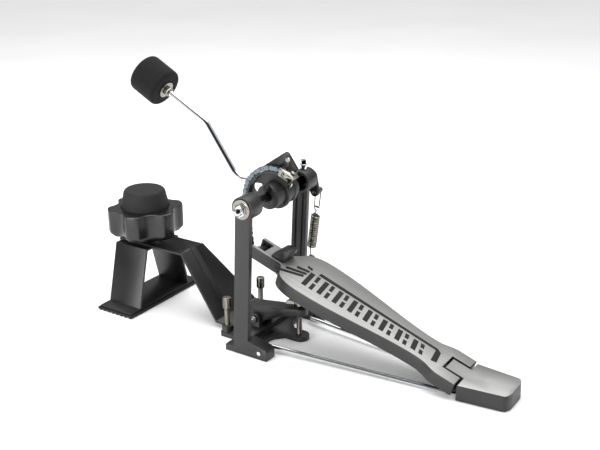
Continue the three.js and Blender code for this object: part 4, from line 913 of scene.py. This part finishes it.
spring_mesh = bpy.data.meshes.new("return_spring_coil")
spring = bpy.data.objects.new("return_spring_coil", spring_mesh)
bpy.context.scene.collection.objects.link(spring)
spring_mesh.from_pydata([(0, 0, 0)], [], [])
grow(spring, coil, Turns=26.0, Radius=5.3 * MM, Height=45 * MM, Wire=0.82 * MM)
lean = Vector(ALONG_Z).rotation_difference(up_spring).to_matrix().to_4x4()
spring.data.transform(Matrix.Translation(on_spring(18.5) * MM) @ lean)
shade(spring.data)
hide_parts("spring_lower", "spring_upper")
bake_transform(spring)


def ring_route(centre, radius, start, sweep, count=14):
    sideways = up_spring.cross(Vector((1, 0, 0)))
    route = []
    for i in range(count + 1):
        angle = math.radians(start + sweep * i / count)
        route.append(
            centre + up_spring * (radius * math.cos(angle)) + sideways * (radius * math.sin(angle))
        )
    return route


WIRE = 0.9
LINK_WIRE = 0.85
lower_route = ring_route(low_eye, 3.2, 220, -200) + [on_spring(12, 0, 0.5), on_spring(19, 0, 4.2)]
lower_hook = object_of("spring_lower_hook", tube(lower_route, WIRE, 0.3, 10), nickel)
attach(lower_hook, "spring_low")
upper_route = [
    on_spring(63.2, 0, 4.2), on_spring(67, 0, 0.8)
] + ring_route(on_spring(73.5), 2.8, 190, -250)
upper_hook = object_of("spring_upper_hook", tube(upper_route, WIRE, 0.3, 10), nickel)
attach(upper_hook, "spring_top")
triangle = [on_spring(75, 0, 3.6), on_spring(96.5, 0, 3.8)] + ring_route(high_eye, 3.6, 80, -160)
triangle += [on_spring(96.5, 0, -3.8), on_spring(75, 0, -3.6), on_spring(75, 0, 3.4)]
wire_link = object_of("spring_wire_link", tube(triangle, LINK_WIRE, 0.5, 10), nickel)
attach(wire_link, "spring_top")
rounded("eye_bolt", nickel, 0.4, 40)


# ---------------------------------------------------------------- riser and strap arm
# The pad stands on a splayed sheet-steel riser with a ribbed rubber mat, tied to the pedal by
# a bent strap with a raised rib. Both are satin black.
for strap in ("riser_bracket", "strap_arm"):
    rounded(strap, satin_black, 0.5)
mat_ribs, mat_in, mat_out = tree_with(
    "mat ribs",
    ("Count", "Int", 16),
    ("Pitch", "Float", 0.00375),
    ("Length", "Float", 0.144),
    ("Depth", "Float", 0.0016),
)
row = add(mat_ribs, "GeometryNodeMeshLine", None, Count=mat_in.outputs["Count"])
pitch_vector = add(mat_ribs, "ShaderNodeCombineXYZ", None, Y=mat_in.outputs["Pitch"])
mat_ribs.links.new(pitch_vector.outputs[0], row.inputs["Offset"])
rib_size = add(
    mat_ribs,
    "ShaderNodeCombineXYZ",
    None,
    X=mat_in.outputs["Length"],
    Y=0.0036,
    Z=mat_in.outputs["Depth"],
)
rib_bar = add(mat_ribs, "GeometryNodeMeshCube", None, Size=rib_size.outputs[0])
rib_row = add(
    mat_ribs, "GeometryNodeInstanceOnPoints", None, Points=row.outputs[0], Instance=rib_bar.outputs[0]
)
ribbed = add(mat_ribs, "GeometryNodeJoinGeometry")
mat_ribs.links.new(rib_row.outputs[0], ribbed.inputs[0])
mat_ribs.links.new(mat_in.outputs["Geometry"], ribbed.inputs[0])
close_tree(mat_ribs, mat_out, ribbed.outputs[0], rubber)
RIB_PITCH = 7.5
MAT_HALF = 72
slab = block((-MAT_HALF, -RIB_PITCH / 2, 0.7), (MAT_HALF, 7.5 * RIB_PITCH, 2.9))
slab = object_of("riser_mat_ribbed", slab, rubber)
mat_piece = grow(slab, mat_ribs, Count=8, Pitch=RIB_PITCH * MM, Length=2 * MAT_HALF * MM, Depth=1.6 * MM)
moved(mat_piece, (0, 186.75, 0.8))
link_up(mat_piece, "riser_mat")


# ---------------------------------------------------------------- knob and rubber cap
# A six-lobed moulded knob sets the pad's height. The rubber cap on top is the striking face.
def gloss_plastic(name, dark, light):
    made, tree, shader = new_material(name, IOR=1.49, Coat__Weight=0.25, Coat__Roughness=0.15)
    place = add(tree, "ShaderNodeTexCoord").outputs["Object"]
    flow = add(tree, "ShaderNodeTexNoise", None, Vector=place, Scale=60.0, Detail=3.0).outputs[0]
    fine = add(tree, "ShaderNodeTexNoise", None, Vector=place, Scale=900.0, Detail=2.0).outputs[0]
    tree.links.new(ramp(tree, flow, hexed(dark), hexed(light)), shader.inputs["Base Color"])
    tree.links.new(span(tree, flow, 0.26, 0.38), shader.inputs["Roughness"])
    bump = add(tree, "ShaderNodeBump", None, Strength=0.1, Distance=0.0002, Height=fine)
    tree.links.new(bump.outputs[0], shader.inputs["Normal"])
    return made


knob_plastic = gloss_plastic("moulded nylon", "#08080a", "#0f0f10")


pad_middle = (0, 213, 0)
KNOB_POINTS = 360


def around_circle(radii):
    """The outline with these radii at equal steps round a circle."""
    turns = [2 * math.pi * i / len(radii) for i in range(len(radii))]
    return [(r * math.cos(turn), r * math.sin(turn)) for r, turn in zip(radii, turns)]


def knob_outline(count, lobes=6, phase=19.5, radius=50, scallop=20, centre=60):
    radii = []
    for i in range(count):
        angle = 2 * math.pi * i / count
        nearest = math.inf
        for k in range(lobes):
            turn = angle - math.radians(phase + (k + 0.5) * 360 / lobes)
            inside = scallop**2 - (centre * math.sin(turn)) ** 2
            if inside > 0 and math.cos(turn) > 0:
                nearest = min(nearest, centre * math.cos(turn) - math.sqrt(inside))
        radii.append(min(radius, nearest))
    for _ in range(14):
        radii = [(radii[i - 1] + 2 * radii[i] + radii[(i + 1) % count]) / 4 for i in range(count)]
    return around_circle(radii)


lobed = knob_outline(KNOB_POINTS)


def shrink(share):
    return [(x * share, y * share) for x, y in lobed]


def disc(radius):
    return around_circle([radius] * KNOB_POINTS)


knob_levels = [
    (shrink(0.84), 95), (shrink(0.88), 95.3), (shrink(0.985), 100.5), (lobed, 102.5), (lobed, 129.5)
]
knob_levels += [
    (shrink(0.992), 131.2), (shrink(0.97), 132), (disc(32.8), 132), (disc(32.3), 131.6), (disc(32.3), 123)
]
knob_piece = object_of("lift_knob_moulding", lofted(knob_levels), knob_plastic)
moved(knob_piece, pad_middle)
shade(knob_piece.data, 30)
link_up(knob_piece, "lift_knob")

cap_profile = [(0, 126.6), (32, 126.6), (32, 132.5), (27.6, 153.2), (25, 156.2), (0, 156.7)]
cap = object_of("rubber_cap_moulding", lathe(eased(cap_profile, 3, 6), pad_middle, ALONG_Z, 96), rubber)
link_up(cap, "rubber_cap")
for bright in ("stud_washer", "stud_nut"):
    rounded(bright, nickel, 0.4)
keep("lift_stud", thread_nickel)


# ---------------------------------------------------------------- floor, lights, camera
# A pale floor with large soft lights. The camera stands to the left of the heel, a little above.
floor_bm = bmesh.new()
bmesh.ops.create_grid(floor_bm, x_segments=1, y_segments=1, size=9)
floor_material, floor_tree, floor_shader = new_material("pale studio floor", Roughness=0.9)
floor_place = add(floor_tree, "ShaderNodeTexCoord").outputs["Object"]
floor_noise = add(floor_tree, "ShaderNodeTexNoise", None, Vector=floor_place, Scale=3.0).outputs[0]
floor_tree.links.new(
    ramp(floor_tree, floor_noise, hexed("#fbfbfb"), hexed("#ffffff")), floor_shader.inputs["Base Color"]
)
floor = object_of("floor", floor_bm, floor_material)

world = bpy.data.worlds.new("studio")
bpy.context.scene.world = world
world.use_nodes = True
sky = world.node_tree
direction = add(sky, "ShaderNodeTexCoord").outputs["Generated"]
height = add(sky, "ShaderNodeSeparateXYZ", None, Vector=direction).outputs["Z"]
glow = ramp(sky, height, (0.05, 0.05, 0.052, 1), (0.95, 0.95, 0.95, 1), 0.12, 0.75)
sky.links.new(glow, sky.nodes["Background"].inputs["Color"])
sky.nodes["Background"].inputs["Strength"].default_value = 1.0


def soft_light(name, place, aim, size, power):
    lamp = bpy.data.lights.new(name, "AREA")
    lamp.size = size
    lamp.energy = power
    made = bpy.data.objects.new(name, lamp)
    made.location = place
    made.rotation_euler = (Vector(aim) - Vector(place)).to_track_quat("-Z", "Y").to_euler()
    bpy.context.scene.collection.objects.link(made)


middle = (0, 0, 0.15)
soft_light("overhead", (0.2, 0.1, 1.7), middle, 1.9, 30)
soft_light("left", (-1.7, 0.35, 0.6), middle, 1.0, 22)
soft_light("front", (0.3, -1.9, 0.8), middle, 0.7, 5)

camera_data = bpy.data.cameras.new("camera")
camera_data.lens = 56.28
camera_data.sensor_width = 36
camera = bpy.data.objects.new("camera", camera_data)
camera.location = (-0.8869, -0.6018, 0.5518)
camera.rotation_euler = Vector((0.7878, 0.5048, -0.3531)).to_track_quat("-Z", "Y").to_euler()
bpy.context.scene.collection.objects.link(camera)
bpy.context.scene.camera = camera
bpy.context.scene.view_settings.view_transform = "Standard"
